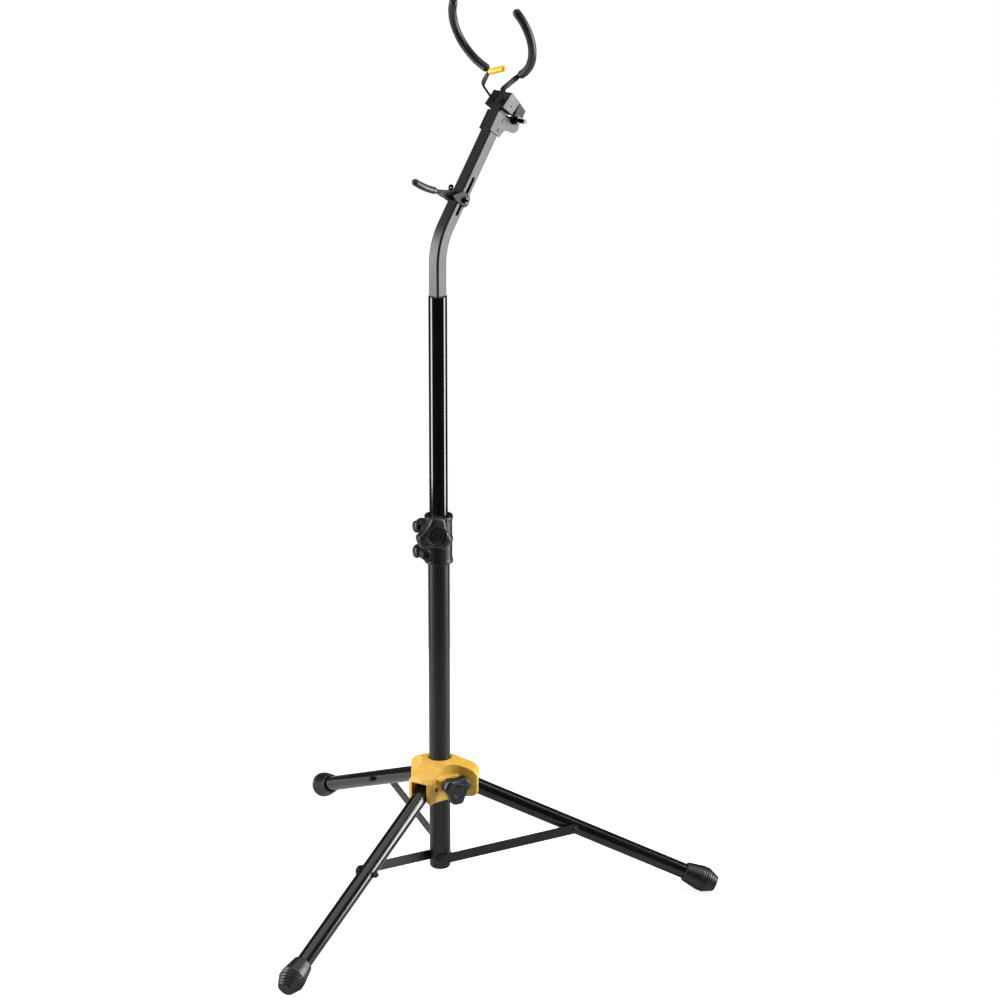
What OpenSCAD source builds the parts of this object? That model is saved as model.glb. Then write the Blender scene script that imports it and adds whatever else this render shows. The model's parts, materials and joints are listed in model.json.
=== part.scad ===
// Floor stand for a saxophone: a folding tripod on a sliding collar, a telescopic mast, a bent
// square neck with a sliding support hook, and a tilting yoke with two sprung, padded arms.
// The mast axis is the Z axis, the floor is z = 0, and the instrument hangs on the -Y side.

/* [Tripod] */
// Distance from the mast axis to the centre of a foot's end face
foot_reach = 393.6; // [370:1:410]
// Outer diameter of a leg tube
leg_d = 22; // [20:0.5:22]
// Height of a leg's hinge pin with the tripod open
leg_hinge_z = 168.6; // [160:1:175]
// Distance of a leg's hinge pin from the mast axis
leg_hinge_r = 34; // [34:0.5:36]
// Distance along the leg from the foot's end to the strut's pivot
strut_from_foot = 222.7; // [210:1:235]
// Height of the struts' lower pivots on the mast
strut_base_z = 50; // [48:1:52]
// Direction of the first leg, in degrees from +X
first_leg_angle = 282; // [270:1:290]

/* [Mast] */
// Outer diameter of the fixed lower tube
lower_tube_d = 30; // [29:0.5:30]
// Height of the lower end of the lower tube above the floor
lower_tube_z = 35; // [33:1:38]
// Outer diameter of the sliding upper tube
upper_tube_d = 25.4; // [25:0.1:25.4]
// Height of the top of the sliding tube, drawn fully out
upper_tube_top = 877.5; // [860:1:900]
// Height of the top of the clutch that holds the sliding tube
clutch_top = 565; // [560:1:575]

/* [Neck] */
// Width of the square neck tube
neck_w = 18; // [17:0.5:18]
// Angle that the neck leans back from upright
neck_lean = 36.7; // [30:1:40]
// Radius of the neck's bend, on its centre line
neck_bend_r = 86.6; // [80:1:95]
// Length of straight neck above the bend
neck_len = 171; // [165:1:180]
// Distance of the support hook's screw above the bend
hook_at = 40; // [38:1:50]

/* [Yoke] */
// Radius of the yoke's ring, to the middle of its arms
ring_r = 69; // [64:1:74]
// Diameter of the foam on the arms
foam_d = 11; // [9:0.5:12]
// Angle that the ring leans forward from upright
ring_lean = 22.4; // [20:0.2:24]
// Width of the block that holds the arms
block_w = 34; // [32:1:38]

/* [Hidden] */
$fn = 64;
EPS = 0.01;
RUN = 0.06;           // radial clearance of a pin that turns
GAP = 0.35;           // distance between faces that pass each other
FIT = 0.02;           // radial clearance of a fixed pin
LEGS = ["front", "right", "rear"];

// Tripod
leg_wall = 1.5;
foot_end_z = 10;
leg_len = norm([foot_reach - leg_hinge_r, leg_hinge_z - foot_end_z]);
leg_slope = atan2(leg_hinge_z - foot_end_z, foot_reach - leg_hinge_r);
strut_pivot = leg_len - strut_from_foot;
leg_end = 7.5;        // the tube goes this far past its hinge pin
strut_t = 2.5;
strut_w = 14;
strut_head_d = 9;
mast_flat = 12.36;    // distance of the lower tube's pressed flats from the axis
strut_in = mast_flat + GAP;
strut_r = leg_hinge_r + strut_pivot * cos(leg_slope);
strut_z = leg_hinge_z - strut_pivot * sin(leg_slope);
strut_len = norm([strut_r, strut_z - strut_base_z]);
strut_tilt = atan2(strut_r, strut_z - strut_base_z);
screw_r = 2.5;
pin_r = 3;

// Rubber foot, measured from its end face
foot_len = 48.4;
foot_end_r = 11.25;
foot_max_r = 18.2;
foot_mouth_r = 13.8;
foot_max_at = 23;
foot_rib_pitch = 4.4;
foot_groove = [1.3, 1.4];
foot_tube_gap = 8;

// Mast
lower_wall = 1.5;
lower_tube_top = 541;
flat_top = 165;
base_round = 4;
upper_wall = 1;
upper_tube_z = 470;
glide_h = 12;
clutch_bottom = 497;
clutch_r = 18.75;
clutch_rib_r = 19.75;
clutch_rib_h = 5;
clutch_axis = -22;    // direction that the clutch knob points
clutch_offset = 20;   // its screw passes this far to the side of the mast axis
clutch_knob_z = 549;
clutch_screw_z = 515;
clutch_screw_at = 25.6;
ear_out = 24.5;
ear_z = [503, 558];
ear_half = 14;
peg_r = 8.5;
peg_z = [514, 551];
peg_x = -4.5;
clutch_badge_r = 14.2;
bush_r = 15;
bush_top = 564;

// Collar
collar_z = [147, 204];
collar_r = 55.5;
collar_lobe_w = 37;
collar_core_r = 23;
collar_rim_r = 17.8;
channel_w = 24;
channel_in = leg_hinge_r - 13.8;
channel_top = leg_hinge_z + 13.8;
scoop_r = 46;
scoop_at = 71;
collar_knob_angle = first_leg_angle + 60;
collar_knob_z = 173;
collar_badge_r = 10.5;

// Neck
neck_wall = 1.5;
neck_corner = 2.8;
neck_bend_z = 920.5;
neck_in = 45;         // length of neck inside the upper tube
plug_in = 12;
slot_from = 16;
slot_to = 74.5;
slot_w = 5;

// Neck's head: positions are [n, l], across the neck and along it
cap_t = 1.3;
cap_from = 141;
cap_top = 170;
cap_x = neck_w / 2 + 0.05;
cap_cheek = [[-11.1, cap_from], [11.5, cap_from], [12.5, 147], [16, 154], [24, 156.5], [32, 158.5],
             [37.5, 163], [39, 169], [36.5, 174], [32, 177], [31, 179.5], [27, 182], [21, 182],
             [17.5, 179], [15.5, 174], [11, cap_top], [-11.1, cap_top]];
cap_rivets_at = [148, 163];
cap_rivet_n = 4;
cap_rivet_r = 1.5;
tilt_at = [24, 175];
tilt_r = 3;
tilt_room_r = 6.6;      // round the bolt's head and nut
rest_top = 175.1;
bracket_t = 2.2;
bracket_x = cap_x + cap_t + GAP;
web = [13.2, 15.4];   // the bracket's web, behind the block
bracket_cheek = [[web[0], 177], [18, 170], [24, 167.5], [29.5, 170], [31, 175], [30, 181.2],
             [web[0], 181.2]];
bracket_side = [[web[0], 179], [30, 179], [29.5, 192], [web[0], 195.5]];
yoke_rivets_at = [-9, 9];
yoke_rivet_l = 187;
yoke_rivet_n = 7;
yoke_rivet_r = 2;
spring_hole = [-0.5, 183.3];
block = [[-14, 175.4], [-9.1, 199.5], [12.5, 196.3], [8.1, 175.4]];

// Ring
ring_y = 107.2;
ring_z = 1221.3;
arc_from = 25.5;      // both measured from the ring's lowest point
arc_to = 122.6;
arc_start = [ring_r * sin(arc_from), 0, -ring_r * cos(arc_from)];
arm_rod_r = 2.5;
arm_t = 2.7;
arm_w = 7.5;
arm_m = -27;          // the strips lie this far in front of the ring
arm_pin = [5.2, -96];
arm_pin_r = 1.6;
arm_twist = 45;       // turn of the strip between the elbow and the ring
elbow = [18.9, -69.5];
arm_cant = 32;        // the strips are turned this far out of the ring's plane
arm_close = 10;       // degrees that an arm swings in
trigger_from = [-24.5, -6.6, -62.8];
trigger_to = [3.6, -3.2, -54.5];
trigger_rod_r = 2;
trigger_sleeve_r = 4.2;
trigger_bare = 4;     // length of bare rod between the strip and the sleeve

// Support hook
hook_plate_t = 2.4;
hook_cheek = [[-24, 35], [-8.6, 49], [5, 49], [10, 44.5], [10, 37], [7.5, 32.5], [-12, 31.5]];
hook_x = neck_w / 2 + GAP;
hook_screw_n = 0.6;
hook_screw_r = 2.2;
hook_rod_r = 2.5;
hook_foam_d = 8.4;
hook_start = [-46, 28.6];
hook_bend_r = 170;
hook_arc = 16.2;
hook_aim = 19;        // the rod sets off this many degrees below square to the neck

// ---- frames ----

function leg_angle(leg) = first_leg_angle + 120 * leg;

// Local z runs down the leg from its hinge pin; the strut is on the -y side.
module at_leg(leg)
    rotate([0, 0, leg_angle(leg)])
        translate([leg_hinge_r, 0, leg_hinge_z])
            rotate([0, 90 + leg_slope, 0])
                children();

// Local z runs up the strut from its lower pivot; y is the leg's y.
module at_strut(leg)
    rotate([0, 0, leg_angle(leg)])
        translate([0, 0, strut_base_z])
            rotate([0, strut_tilt, 0])
                children();

// Local z runs out from the mast along the clutch knob's screw.
module at_clutch_screw(z, offset)
    rotate([0, 0, clutch_axis])
        translate([0, -offset, z])
            rotate([0, 90, 0])
                children();

module at_collar_knob()
    rotate([0, 0, collar_knob_angle])
        translate([0, 0, collar_knob_z])
            rotate([0, 90, 0])
                children();

// Local z runs up the neck from the end of its bend, and local y points to the rear.
module at_neck()
    translate([0, neck_bend_r * (1 - cos(neck_lean)), neck_bend_z + neck_bend_r * sin(neck_lean)])
        rotate([-neck_lean, 0, 0])
            children();

// Local z runs up the ring's plane from its centre, and local y is square to the plane.
module at_ring()
    translate([0, ring_y, ring_z])
        rotate([ring_lean, 0, 0])
            children();

// ---- shapes ----

module tube(d, wall, z0, z1)
    translate([0, 0, z0])
        difference() {
            cylinder(d = d, h = z1 - z0);
            translate([0, 0, -1])
                cylinder(d = d - 2 * wall, h = z1 - z0 + 2);
        }

module rounded_square(w, r) {
    square([w, w - 2 * r], center = true);
    square([w - 2 * r, w], center = true);
    for (x = [-1, 1], y = [-1, 1])
        translate([x, y] * (w / 2 - r))
            circle(r);
}

// A plate outlined by [n, l] points in the neck's frame, from x0 to x1.
module neck_plate(points, x0, x1)
    translate([x0, 0, 0])
        rotate([90, 0, 90])
            linear_extrude(x1 - x0)
                polygon(points);

// A round bar between two x values at [n, l] in the neck's frame.
module neck_bar(at, r, x0, x1)
    translate([x0, at[0], at[1]])
        rotate([0, 90, 0])
            cylinder(r = r, h = x1 - x0);

module hex(across, h)
    cylinder(d = across / cos(30), h = h, $fn = 6);

// A cross-slotted round screw head that rises along z, with its shank below.
module cross_screw(head_d, head_h, shank_r, shank) {
    slot = [head_d * 0.55, 1.1];
    difference() {
        cylinder(d1 = head_d, d2 = head_d * 0.72, h = head_h);
        for (turn = [0, 90])
            rotate([0, 0, turn])
                translate([-slot[0] / 2, -slot[1] / 2, head_h - 1.2])
                    cube([slot[0], slot[1], 2]);
    }
    translate([0, 0, -shank])
        cylinder(r = shank_r, h = shank + EPS);
}

// A round bar from one point to another.
module bar(from, to, r) {
    run = to - from;
    translate(from)
        rotate([0, acos(run[2] / norm(run)), atan2(run[1], run[0])])
            cylinder(r = r, h = norm(run));
}

// Three-lobed hand knob: lobe tips reach knob_r, with a hub below the plate.
module knob(knob_r, thick, hub_r, hub_h, badge_r, turn) {
    tip_r = knob_r * 0.4;
    side_r = knob_r * 0.95;
    translate([0, 0, hub_h])
        difference() {
            union() {
                linear_extrude(thick - 2)
                    rotate(turn)
                        knob_outline(knob_r, tip_r, side_r);
                linear_extrude(thick)
                    rotate(turn)
                        knob_outline(knob_r - 2, tip_r - 1, side_r);
            }
            translate([0, 0, thick - 0.8])
                cylinder(r = badge_r + FIT, h = 2);
        }
    cylinder(r = hub_r, h = hub_h + EPS);
}

module knob_outline(knob_r, tip_r, side_r)
    difference() {
        union() {
            circle(knob_r * 0.8);
            for (turn = [0, 120, 240])
                rotate(turn)
                    translate([knob_r - tip_r, 0])
                        circle(tip_r);
        }
        for (turn = [60, 180, 300])
            rotate(turn)
                translate([knob_r * 0.62 + side_r, 0])
                    circle(side_r);
    }

// ---- mast base ----

module flat_cuts(distance, z0, z1)
    for (leg = [0 : 2])
        rotate([0, 0, leg_angle(leg) - 90])
            translate([distance, -lower_tube_d, z0])
                cube([lower_tube_d, 2 * lower_tube_d, z1 - z0]);

module lower_tube() color("#2b2c2e")
    difference() {
        translate([0, 0, lower_tube_z])
            rotate_extrude() {
                translate([0, base_round])
                    square([lower_tube_d / 2, lower_tube_top - lower_tube_z - base_round]);
                square([lower_tube_d / 2 - base_round, base_round + EPS]);
                translate([lower_tube_d / 2 - base_round, base_round])
                    circle(base_round);
            }
        flat_cuts(mast_flat, lower_tube_z - 1, flat_top);
        difference() {
            translate([0, 0, lower_tube_z - 1])
                cylinder(d = lower_tube_d - 2 * lower_wall, h = lower_tube_top - lower_tube_z + 2);
            flat_cuts(mast_flat - lower_wall, lower_tube_z - 2, flat_top + lower_wall);
        }
        for (leg = [0 : 2])
            rotate([0, 0, leg_angle(leg)])
                translate([0, 0, strut_base_z])
                    rotate([90, 0, 0])
                        cylinder(r = screw_r + FIT, h = lower_tube_d);
    }

module base_plug() color("#1a1a1a")
    translate([0, 0, lower_tube_z - 1])
        difference() {
            cylinder(r = mast_flat - lower_wall - 0.1, h = 6);
            translate([0, 0, 2])
                cylinder(r = mast_flat - lower_wall - 2, h = 6);
        }

// The screw's head stands off the strut, which turns on its shank.
module strut_base_screws() color("#2b2c2e")
    for (leg = [0 : 2])
        rotate([0, 0, leg_angle(leg)])
            translate([0, -strut_in - strut_t - GAP, strut_base_z])
                rotate([90, 0, 0])
                    cross_screw(strut_head_d, 2.4, screw_r, strut_in + strut_t + GAP - 8);

module strut_base_nuts() color("#8a8c90")
    for (leg = [0 : 2])
        rotate([0, 0, leg_angle(leg)])
            translate([0, -mast_flat + lower_wall + 0.05, strut_base_z])
                rotate([-90, 0, 0])
                    difference() {
                        hex(8, 2.6);
                        translate([0, 0, -1])
                            cylinder(r = screw_r + FIT, h = 6);
                    }

// ---- clutch ----

module clutch_body() color("#26272a")
    difference() {
        union() {
            translate([0, 0, clutch_bottom])
                cylinder(r = clutch_r, h = clutch_top - clutch_bottom);
            for (z = [clutch_bottom, (clutch_bottom + clutch_top - clutch_rib_h) / 2,
                      clutch_top - clutch_rib_h])
                translate([0, 0, z])
                    cylinder(r = clutch_rib_r, h = clutch_rib_h);
            rotate([0, 0, clutch_axis])
                translate([-ear_half, -ear_out, ear_z[0]])
                    cube([2 * ear_half, ear_out, ear_z[1] - ear_z[0]]);
            at_clutch_screw(clutch_knob_z, clutch_offset)
                translate([0, 0, -ear_half - 2])
                    cylinder(r = 10, h = 2 * ear_half + 6);
            at_clutch_screw(clutch_screw_z, clutch_screw_at)
                translate([0, 0, -ear_half - 2])
                    cylinder(r = 6.5, h = 2 * ear_half + 6);
        }
        translate([0, 0, clutch_bottom - 1])
            cylinder(r = lower_tube_d / 2 + FIT, h = clutch_top - clutch_bottom + 2);
        rotate([0, 0, clutch_axis])
            translate([-1, -ear_out - 5, clutch_bottom - 1])
                cube([2, ear_out, clutch_top - clutch_bottom + 2]);
        rotate([0, 0, clutch_axis])
            for (z = peg_z)
                translate([peg_x, -ear_out, z])
                    rotate([90, 0, 0])
                        cylinder(r = peg_r + FIT, h = 12);
        at_clutch_screw(clutch_knob_z, clutch_offset)
            translate([0, 0, -ear_half - 5])
                cylinder(r = pin_r + RUN, h = 2 * ear_half + 12);
        at_clutch_screw(clutch_screw_z, clutch_screw_at) {
            translate([0, 0, -ear_half - 5])
                cylinder(r = screw_r + FIT, h = 2 * ear_half + 12);
            translate([0, 0, ear_half + 1])
                cylinder(r = 4.3 + FIT, h = 10);
        }
    }

// Two grooved pegs on the ends of the ears, for hanging a strap or a cap.
module clutch_pegs() color("#26272a")
    difference() {
        rotate([0, 0, clutch_axis])
            for (z = peg_z)
                translate([peg_x, -ear_out - FIT, z])
                    rotate([90, 0, 0])
                        rotate_extrude()
                            polygon([[0, 0], [peg_r - 0.5, 0], [peg_r - 0.5, 4], [peg_r - 2.2, 4],
                                     [peg_r - 2.2, 5.4], [peg_r, 5.4], [peg_r, 8.6],
                                     [peg_r - 1.6, 10.4], [0, 11]]);
        at_clutch_screw(clutch_screw_z, clutch_screw_at)
            translate([0, 0, -ear_half - 5])
                cylinder(r = screw_r + FIT, h = 2 * ear_half + 12);
    }

module clutch_clamp_screw() color("#1c1c1e")
    at_clutch_screw(clutch_screw_z, clutch_screw_at) {
        translate([0, 0, -ear_half - 7])
            cylinder(r = screw_r, h = 2 * ear_half + 9);
        translate([0, 0, ear_half + 1 + FIT])
            difference() {
                cylinder(r = 4.3, h = 3.6);
                translate([0, 0, 1.6])
                    hex(4, 3);
            }
    }

module clutch_nuts() color("#8a8c90") {
    at_clutch_screw(clutch_screw_z, clutch_screw_at)
        nut_ring(8, 3.6, screw_r + FIT);
    at_clutch_screw(clutch_knob_z, clutch_offset)
        nut_ring(10, 4.6, pin_r + RUN);
}

module nut_ring(across, h, bore_r)
    translate([0, 0, -ear_half - 2.05 - h])
        difference() {
            hex(across, h);
            translate([0, 0, -1])
                cylinder(r = bore_r, h = h + 2);
        }

module clutch_knob() color("#232426")
    at_clutch_screw(clutch_knob_z, clutch_offset)
        translate([0, 0, ear_half + 4 + GAP])
            difference() {
                knob(26, 15, 10, 6, clutch_badge_r, 170);
                translate([0, 0, -1])
                    cylinder(r = pin_r + FIT, h = 13);
            }

module clutch_stud() color("#8a8c90")
    at_clutch_screw(clutch_knob_z, clutch_offset)
        translate([0, 0, -ear_half - 9])
            cylinder(r = pin_r, h = 2 * ear_half + 24);

module clutch_knob_badge() color("#141416")
    at_clutch_screw(clutch_knob_z, clutch_offset)
        translate([0, 0, ear_half + 4 + GAP + 21 - 0.8 + FIT])
            badge(clutch_badge_r);

module badge(r)
    difference() {
        cylinder(r = r, h = 0.6);
        translate([0, 0, 0.3])
            tube(2 * r - 3, 1.2, 0, 1);
    }

module clutch_bush() color("#151515")
    difference() {
        translate([0, 0, lower_tube_top + GAP])
            cylinder(r = bush_r - RUN + FIT, h = bush_top - lower_tube_top - GAP);
        translate([0, 0, lower_tube_top - 1])
            cylinder(r = upper_tube_d / 2 + RUN, h = bush_top - lower_tube_top + 2);
    }

// ---- collar ----

module collar_plan()
    difference() {
        union() {
            circle(collar_core_r + 14);
            for (leg = [0 : 2])
                rotate(leg_angle(leg)) {
                    translate([0, -collar_lobe_w / 2])
                        square([collar_r - 4, collar_lobe_w]);
                    for (side = [-1, 1])
                        translate([collar_r - 4, side * (collar_lobe_w / 2 - 4)])
                            circle(4);
                    translate([collar_r - 5, -collar_lobe_w / 2 + 4])
                        square([5, collar_lobe_w - 8]);
                }
        }
        for (leg = [0 : 2])
            rotate(leg_angle(leg) + 60)
                translate([scoop_at, 0])
                    circle(scoop_r);
    }

module collar() color("#f0c255")
    difference() {
        intersection() {
            translate([0, 0, collar_z[0]])
                linear_extrude(collar_z[1] - collar_z[0])
                    collar_plan();
            rotate_extrude()
                polygon([[0, collar_z[0]], [collar_core_r, collar_z[0]], [collar_r - 4, collar_z[0] + 4],
                         [collar_r + 1, collar_z[0] + 9], [collar_r + 1, collar_z[1] - 21],
                         [collar_r - 5, collar_z[1] - 14.5], [collar_rim_r, collar_z[1]],
                         [0, collar_z[1]]]);
        }
        translate([0, 0, collar_z[0] - 1])
            cylinder(r = lower_tube_d / 2 + GAP, h = collar_z[1] - collar_z[0] + 2);
        for (leg = [0 : 2])
            rotate([0, 0, leg_angle(leg)]) {
                translate([channel_in, -channel_w / 2, collar_z[0] - 1])
                    cube([collar_r, channel_w, channel_top - collar_z[0] + 1]);
                translate([leg_hinge_r, 0, leg_hinge_z])
                    rotate([90, 0, 0]) {
                        translate([0, 0, -collar_lobe_w])
                            cylinder(r = pin_r + FIT, h = 2 * collar_lobe_w);
                        for (side = [-1, 1])
                            translate([0, 0, side * (collar_lobe_w / 2 + 3)])
                                cylinder(r = pin_r + 0.8, h = 10, center = true);
                    }
            }
        at_collar_knob()
            cylinder(r = pin_r + 2 + FIT, h = 40);
    }

module leg_hinge_pins() color("#1c1c1e")
    for (leg = [0 : 2])
        rotate([0, 0, leg_angle(leg)])
            translate([leg_hinge_r, collar_lobe_w / 2 - 2.2, leg_hinge_z])
                rotate([90, 0, 0])
                    cylinder(r = pin_r, h = collar_lobe_w - 4.4);

// Threaded insert that the collar knob's stud turns in.
module collar_insert() color("#b99a54")
    at_collar_knob()
        tube(2 * (pin_r + 2), 2 - RUN, lower_tube_d / 2 + 1.5, scoop_at - scoop_r - 0.6);

module collar_stud() color("#8a8c90")
    at_collar_knob()
        translate([0, 0, lower_tube_d / 2 + GAP])
            cylinder(r = pin_r, h = 30);

module collar_knob() color("#232426")
    at_collar_knob()
        translate([0, 0, scoop_at - scoop_r + 3.5])
            difference() {
                knob(22, 15, 9, 15, collar_badge_r, 0);
                translate([0, 0, -1])
                    cylinder(r = pin_r + FIT, h = 19);
            }

module collar_knob_badge() color("#141416")
    at_collar_knob()
        translate([0, 0, scoop_at - scoop_r + 3.5 + 30 - 0.8 + FIT])
            badge(collar_badge_r);

// ---- legs ----

module leg_tube(leg) color("#111214")
    at_leg(leg)
        difference() {
            tube(leg_d, leg_wall, -leg_end, leg_len - foot_tube_gap);
            rotate([90, 0, 0])
                cylinder(r = pin_r + RUN, h = 2 * leg_d, center = true);
            translate([0, 0, strut_pivot])
                rotate([90, 0, 0])
                    cylinder(r = screw_r + FIT, h = 2 * leg_d, center = true);
        }

module leg_end(leg) color("#1a1a1c")
    at_leg(leg)
        difference() {
            union() {
                translate([0, 0, -leg_end])
                    cylinder(r = leg_d / 2 - leg_wall - 0.05, h = 22);
                translate([0, 0, -leg_end - 1])
                    cylinder(r = leg_d / 2 - 1, h = 1);
            }
            rotate([90, 0, 0])
                cylinder(r = pin_r + RUN, h = 2 * leg_d, center = true);
        }

function cone_r(d) = foot_end_r + d * tan(leg_slope);
function foot_r(d) = d > foot_max_at
    ? foot_max_r - (foot_max_r - foot_mouth_r) * pow((d - foot_max_at) / (foot_len - foot_max_at), 1.4)
    : min(cone_r(d), foot_max_r);

module rubber_foot(leg) color("#1d1d1f")
    difference() {
        at_leg(leg)
            translate([0, 0, leg_len])
                mirror([0, 0, 1])
                    difference() {
                        rotate_extrude()
                            polygon(concat([[0, 0.8], [2.4, 0.8], [2.4, 0]],
                                [for (rib = [0 : 4])
                                    let (d = rib * foot_rib_pitch, land = foot_rib_pitch - foot_groove[0])
                                        each [[foot_r(d), d], [foot_r(d + land), d + land],
                                              [foot_r(d + land) - foot_groove[1], d + land],
                                              [foot_r(d + foot_rib_pitch) - foot_groove[1],
                                               d + foot_rib_pitch]]],
                                [for (step = [0 : 4])
                                    let (d = foot_max_at + step / 4 * (foot_len - 1 - foot_max_at))
                                        [foot_r(d), d]],
                                [[foot_mouth_r - 1, foot_len], [0, foot_len]]));
                        translate([0, 0, foot_tube_gap - 0.1])
                            cylinder(r = leg_d / 2 + 0.05, h = foot_len);
                    }
        translate([-2 * foot_reach, -2 * foot_reach, -20])
            cube([4 * foot_reach, 4 * foot_reach, 20]);
    }

// Washer, bolt and domed lock nut that stay on the leg at the strut's pivot.
module leg_bolt(leg) color("#1c1c1e")
    at_leg(leg)
        translate([0, 0, strut_pivot])
            rotate([90, 0, 0]) {
                translate([0, 0, -leg_d / 2 - 6])
                    cylinder(r = screw_r, h = leg_d + 6.5);
                translate([0, 0, leg_d / 2 + 0.05])
                    cylinder(r = 6, h = strut_in - leg_d / 2 - GAP - 0.05);
                translate([0, 0, -leg_d / 2 - 4.6])
                    hex(8, 4.5);
                translate([0, 0, -leg_d / 2 - 7])
                    cylinder(r1 = 2, r2 = 3.4, h = 2.5);
            }

// ---- struts ----

module strut(leg) color("#2e2f32")
    at_strut(leg)
        translate([0, -strut_in, 0])
            rotate([90, 0, 0])
                linear_extrude(strut_t)
                    difference() {
                        union() {
                            translate([-strut_w / 2, 0])
                                square([strut_w, strut_len]);
                            for (end = [0, strut_len])
                                translate([0, end])
                                    circle(strut_w / 2);
                        }
                        circle(screw_r + RUN);
                        translate([0, strut_len])
                            circle(screw_r + FIT);
                    }

module strut_screw(leg) color("#2b2c2e")
    at_strut(leg)
        translate([0, -strut_in - strut_t - FIT, strut_len])
            rotate([90, 0, 0])
                cross_screw(strut_head_d, 2.4, screw_r, strut_t);

// ---- sliding mast ----

module upper_tube() color("#0b0b0c")
    tube(upper_tube_d, upper_wall, upper_tube_z, upper_tube_top);

module tube_glide() color("#d8d8d4")
    difference() {
        union() {
            translate([0, 0, upper_tube_z - 6])
                cylinder(d = lower_tube_d - 2 * lower_wall - 0.2, h = 6 - FIT);
            translate([0, 0, upper_tube_z - 1])
                cylinder(d = upper_tube_d - 2 * upper_wall - 2 * FIT, h = glide_h);
        }
        translate([0, 0, upper_tube_z - 10])
            cylinder(d = upper_tube_d - 2 * upper_wall - 4, h = glide_h + 20);
    }

// Ring that centres the square neck in the round tube.
module neck_insert() color("#0d0d0e")
    difference() {
        translate([0, 0, upper_tube_top - neck_in])
            cylinder(d = upper_tube_d - 2 * upper_wall - 2 * FIT, h = neck_in - 1.5);
        translate([0, 0, upper_tube_top - neck_in - 1])
            linear_extrude(neck_in + 2)
                rounded_square(neck_w + 2 * FIT, neck_corner);
    }

module neck_section(grow = 0)
    difference() {
        rounded_square(neck_w + grow, neck_corner);
        rounded_square(neck_w - 2 * neck_wall - grow, neck_corner - neck_wall);
    }

module neck_tube() color("#3a3b3d")
    difference() {
        union() {
            translate([0, 0, upper_tube_top - neck_in])
                linear_extrude(neck_bend_z - upper_tube_top + neck_in)
                    neck_section();
            translate([0, neck_bend_r, neck_bend_z])
                rotate([90, 0, -90])
                    rotate_extrude(angle = neck_lean)
                        translate([neck_bend_r, 0])
                            neck_section();
            at_neck()
                translate([0, 0, -EPS])
                    linear_extrude(neck_len + EPS)
                        neck_section(EPS);
        }
        at_neck() {
            neck_plate([[hook_screw_n - slot_w / 2, slot_from + slot_w / 2],
                        [hook_screw_n + slot_w / 2, slot_from + slot_w / 2],
                        [hook_screw_n + slot_w / 2, slot_to - slot_w / 2],
                        [hook_screw_n - slot_w / 2, slot_to - slot_w / 2]], -neck_w, neck_w);
            for (end = [slot_from + slot_w / 2, slot_to - slot_w / 2])
                neck_bar([hook_screw_n, end], slot_w / 2, -neck_w, neck_w);
        }
    }

// Plastic plug in the neck's end; the yoke's block rests on its head.
module neck_plug() color("#151516")
    at_neck() {
        translate([0, 0, neck_len - plug_in])
            linear_extrude(plug_in + 1)
                rounded_square(neck_w - 2 * neck_wall - 0.1, neck_corner - neck_wall);
        translate([0, 0, neck_len + 0.05])
            linear_extrude(rest_top - neck_len - 0.05)
                rounded_square(neck_w + 1, neck_corner);
    }

// Folded sheet that wraps the front of the neck's end and carries the tilt bolt behind it.
module head_cap() color("#4a4b4e")
    at_neck()
        difference() {
            union() {
                for (side = [-1, 1])
                    neck_plate(cap_cheek, min(side * cap_x, side * (cap_x + cap_t)),
                               max(side * cap_x, side * (cap_x + cap_t)));
                neck_plate([[-cap_x - cap_t, cap_from], [-cap_x, cap_from], [-cap_x, cap_top],
                            [-cap_x - cap_t, cap_top]], -cap_x - cap_t, cap_x + cap_t);
            }
            neck_bar(tilt_at, tilt_r + FIT, -neck_w, neck_w);
            for (l = cap_rivets_at)
                neck_bar([cap_rivet_n, l], cap_rivet_r + FIT, -neck_w, neck_w);
        }

module cap_rivets() color("#2b2c2e")
    at_neck()
        for (l = cap_rivets_at, side = [-1, 1])
            translate([side * cap_x, cap_rivet_n, l])
                rotate([0, side * 90, 0]) {
                    cylinder(r = cap_rivet_r, h = cap_t + EPS);
                    translate([0, 0, cap_t])
                        cylinder(r1 = cap_rivet_r + 1, r2 = cap_rivet_r, h = 0.9);
                }

module tilt_bolt() color("#17181a")
    at_neck() {
        neck_bar(tilt_at, tilt_r, -bracket_x - bracket_t - GAP - 1, 30);
        neck_bar(tilt_at, 5.5, -bracket_x - bracket_t - GAP - 4, -bracket_x - bracket_t - GAP);
    }

module tilt_nut() color("#17181a")
    at_neck()
        translate([bracket_x + bracket_t + GAP, tilt_at[0], tilt_at[1]])
            rotate([0, 90, 0])
                difference() {
                    union() {
                        cylinder(r = 6, h = 1.2);
                        hex(10, 5.5);
                    }
                    translate([0, 0, -1])
                        cylinder(r = tilt_r + FIT, h = 8);
                }

// ---- yoke ----

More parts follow.
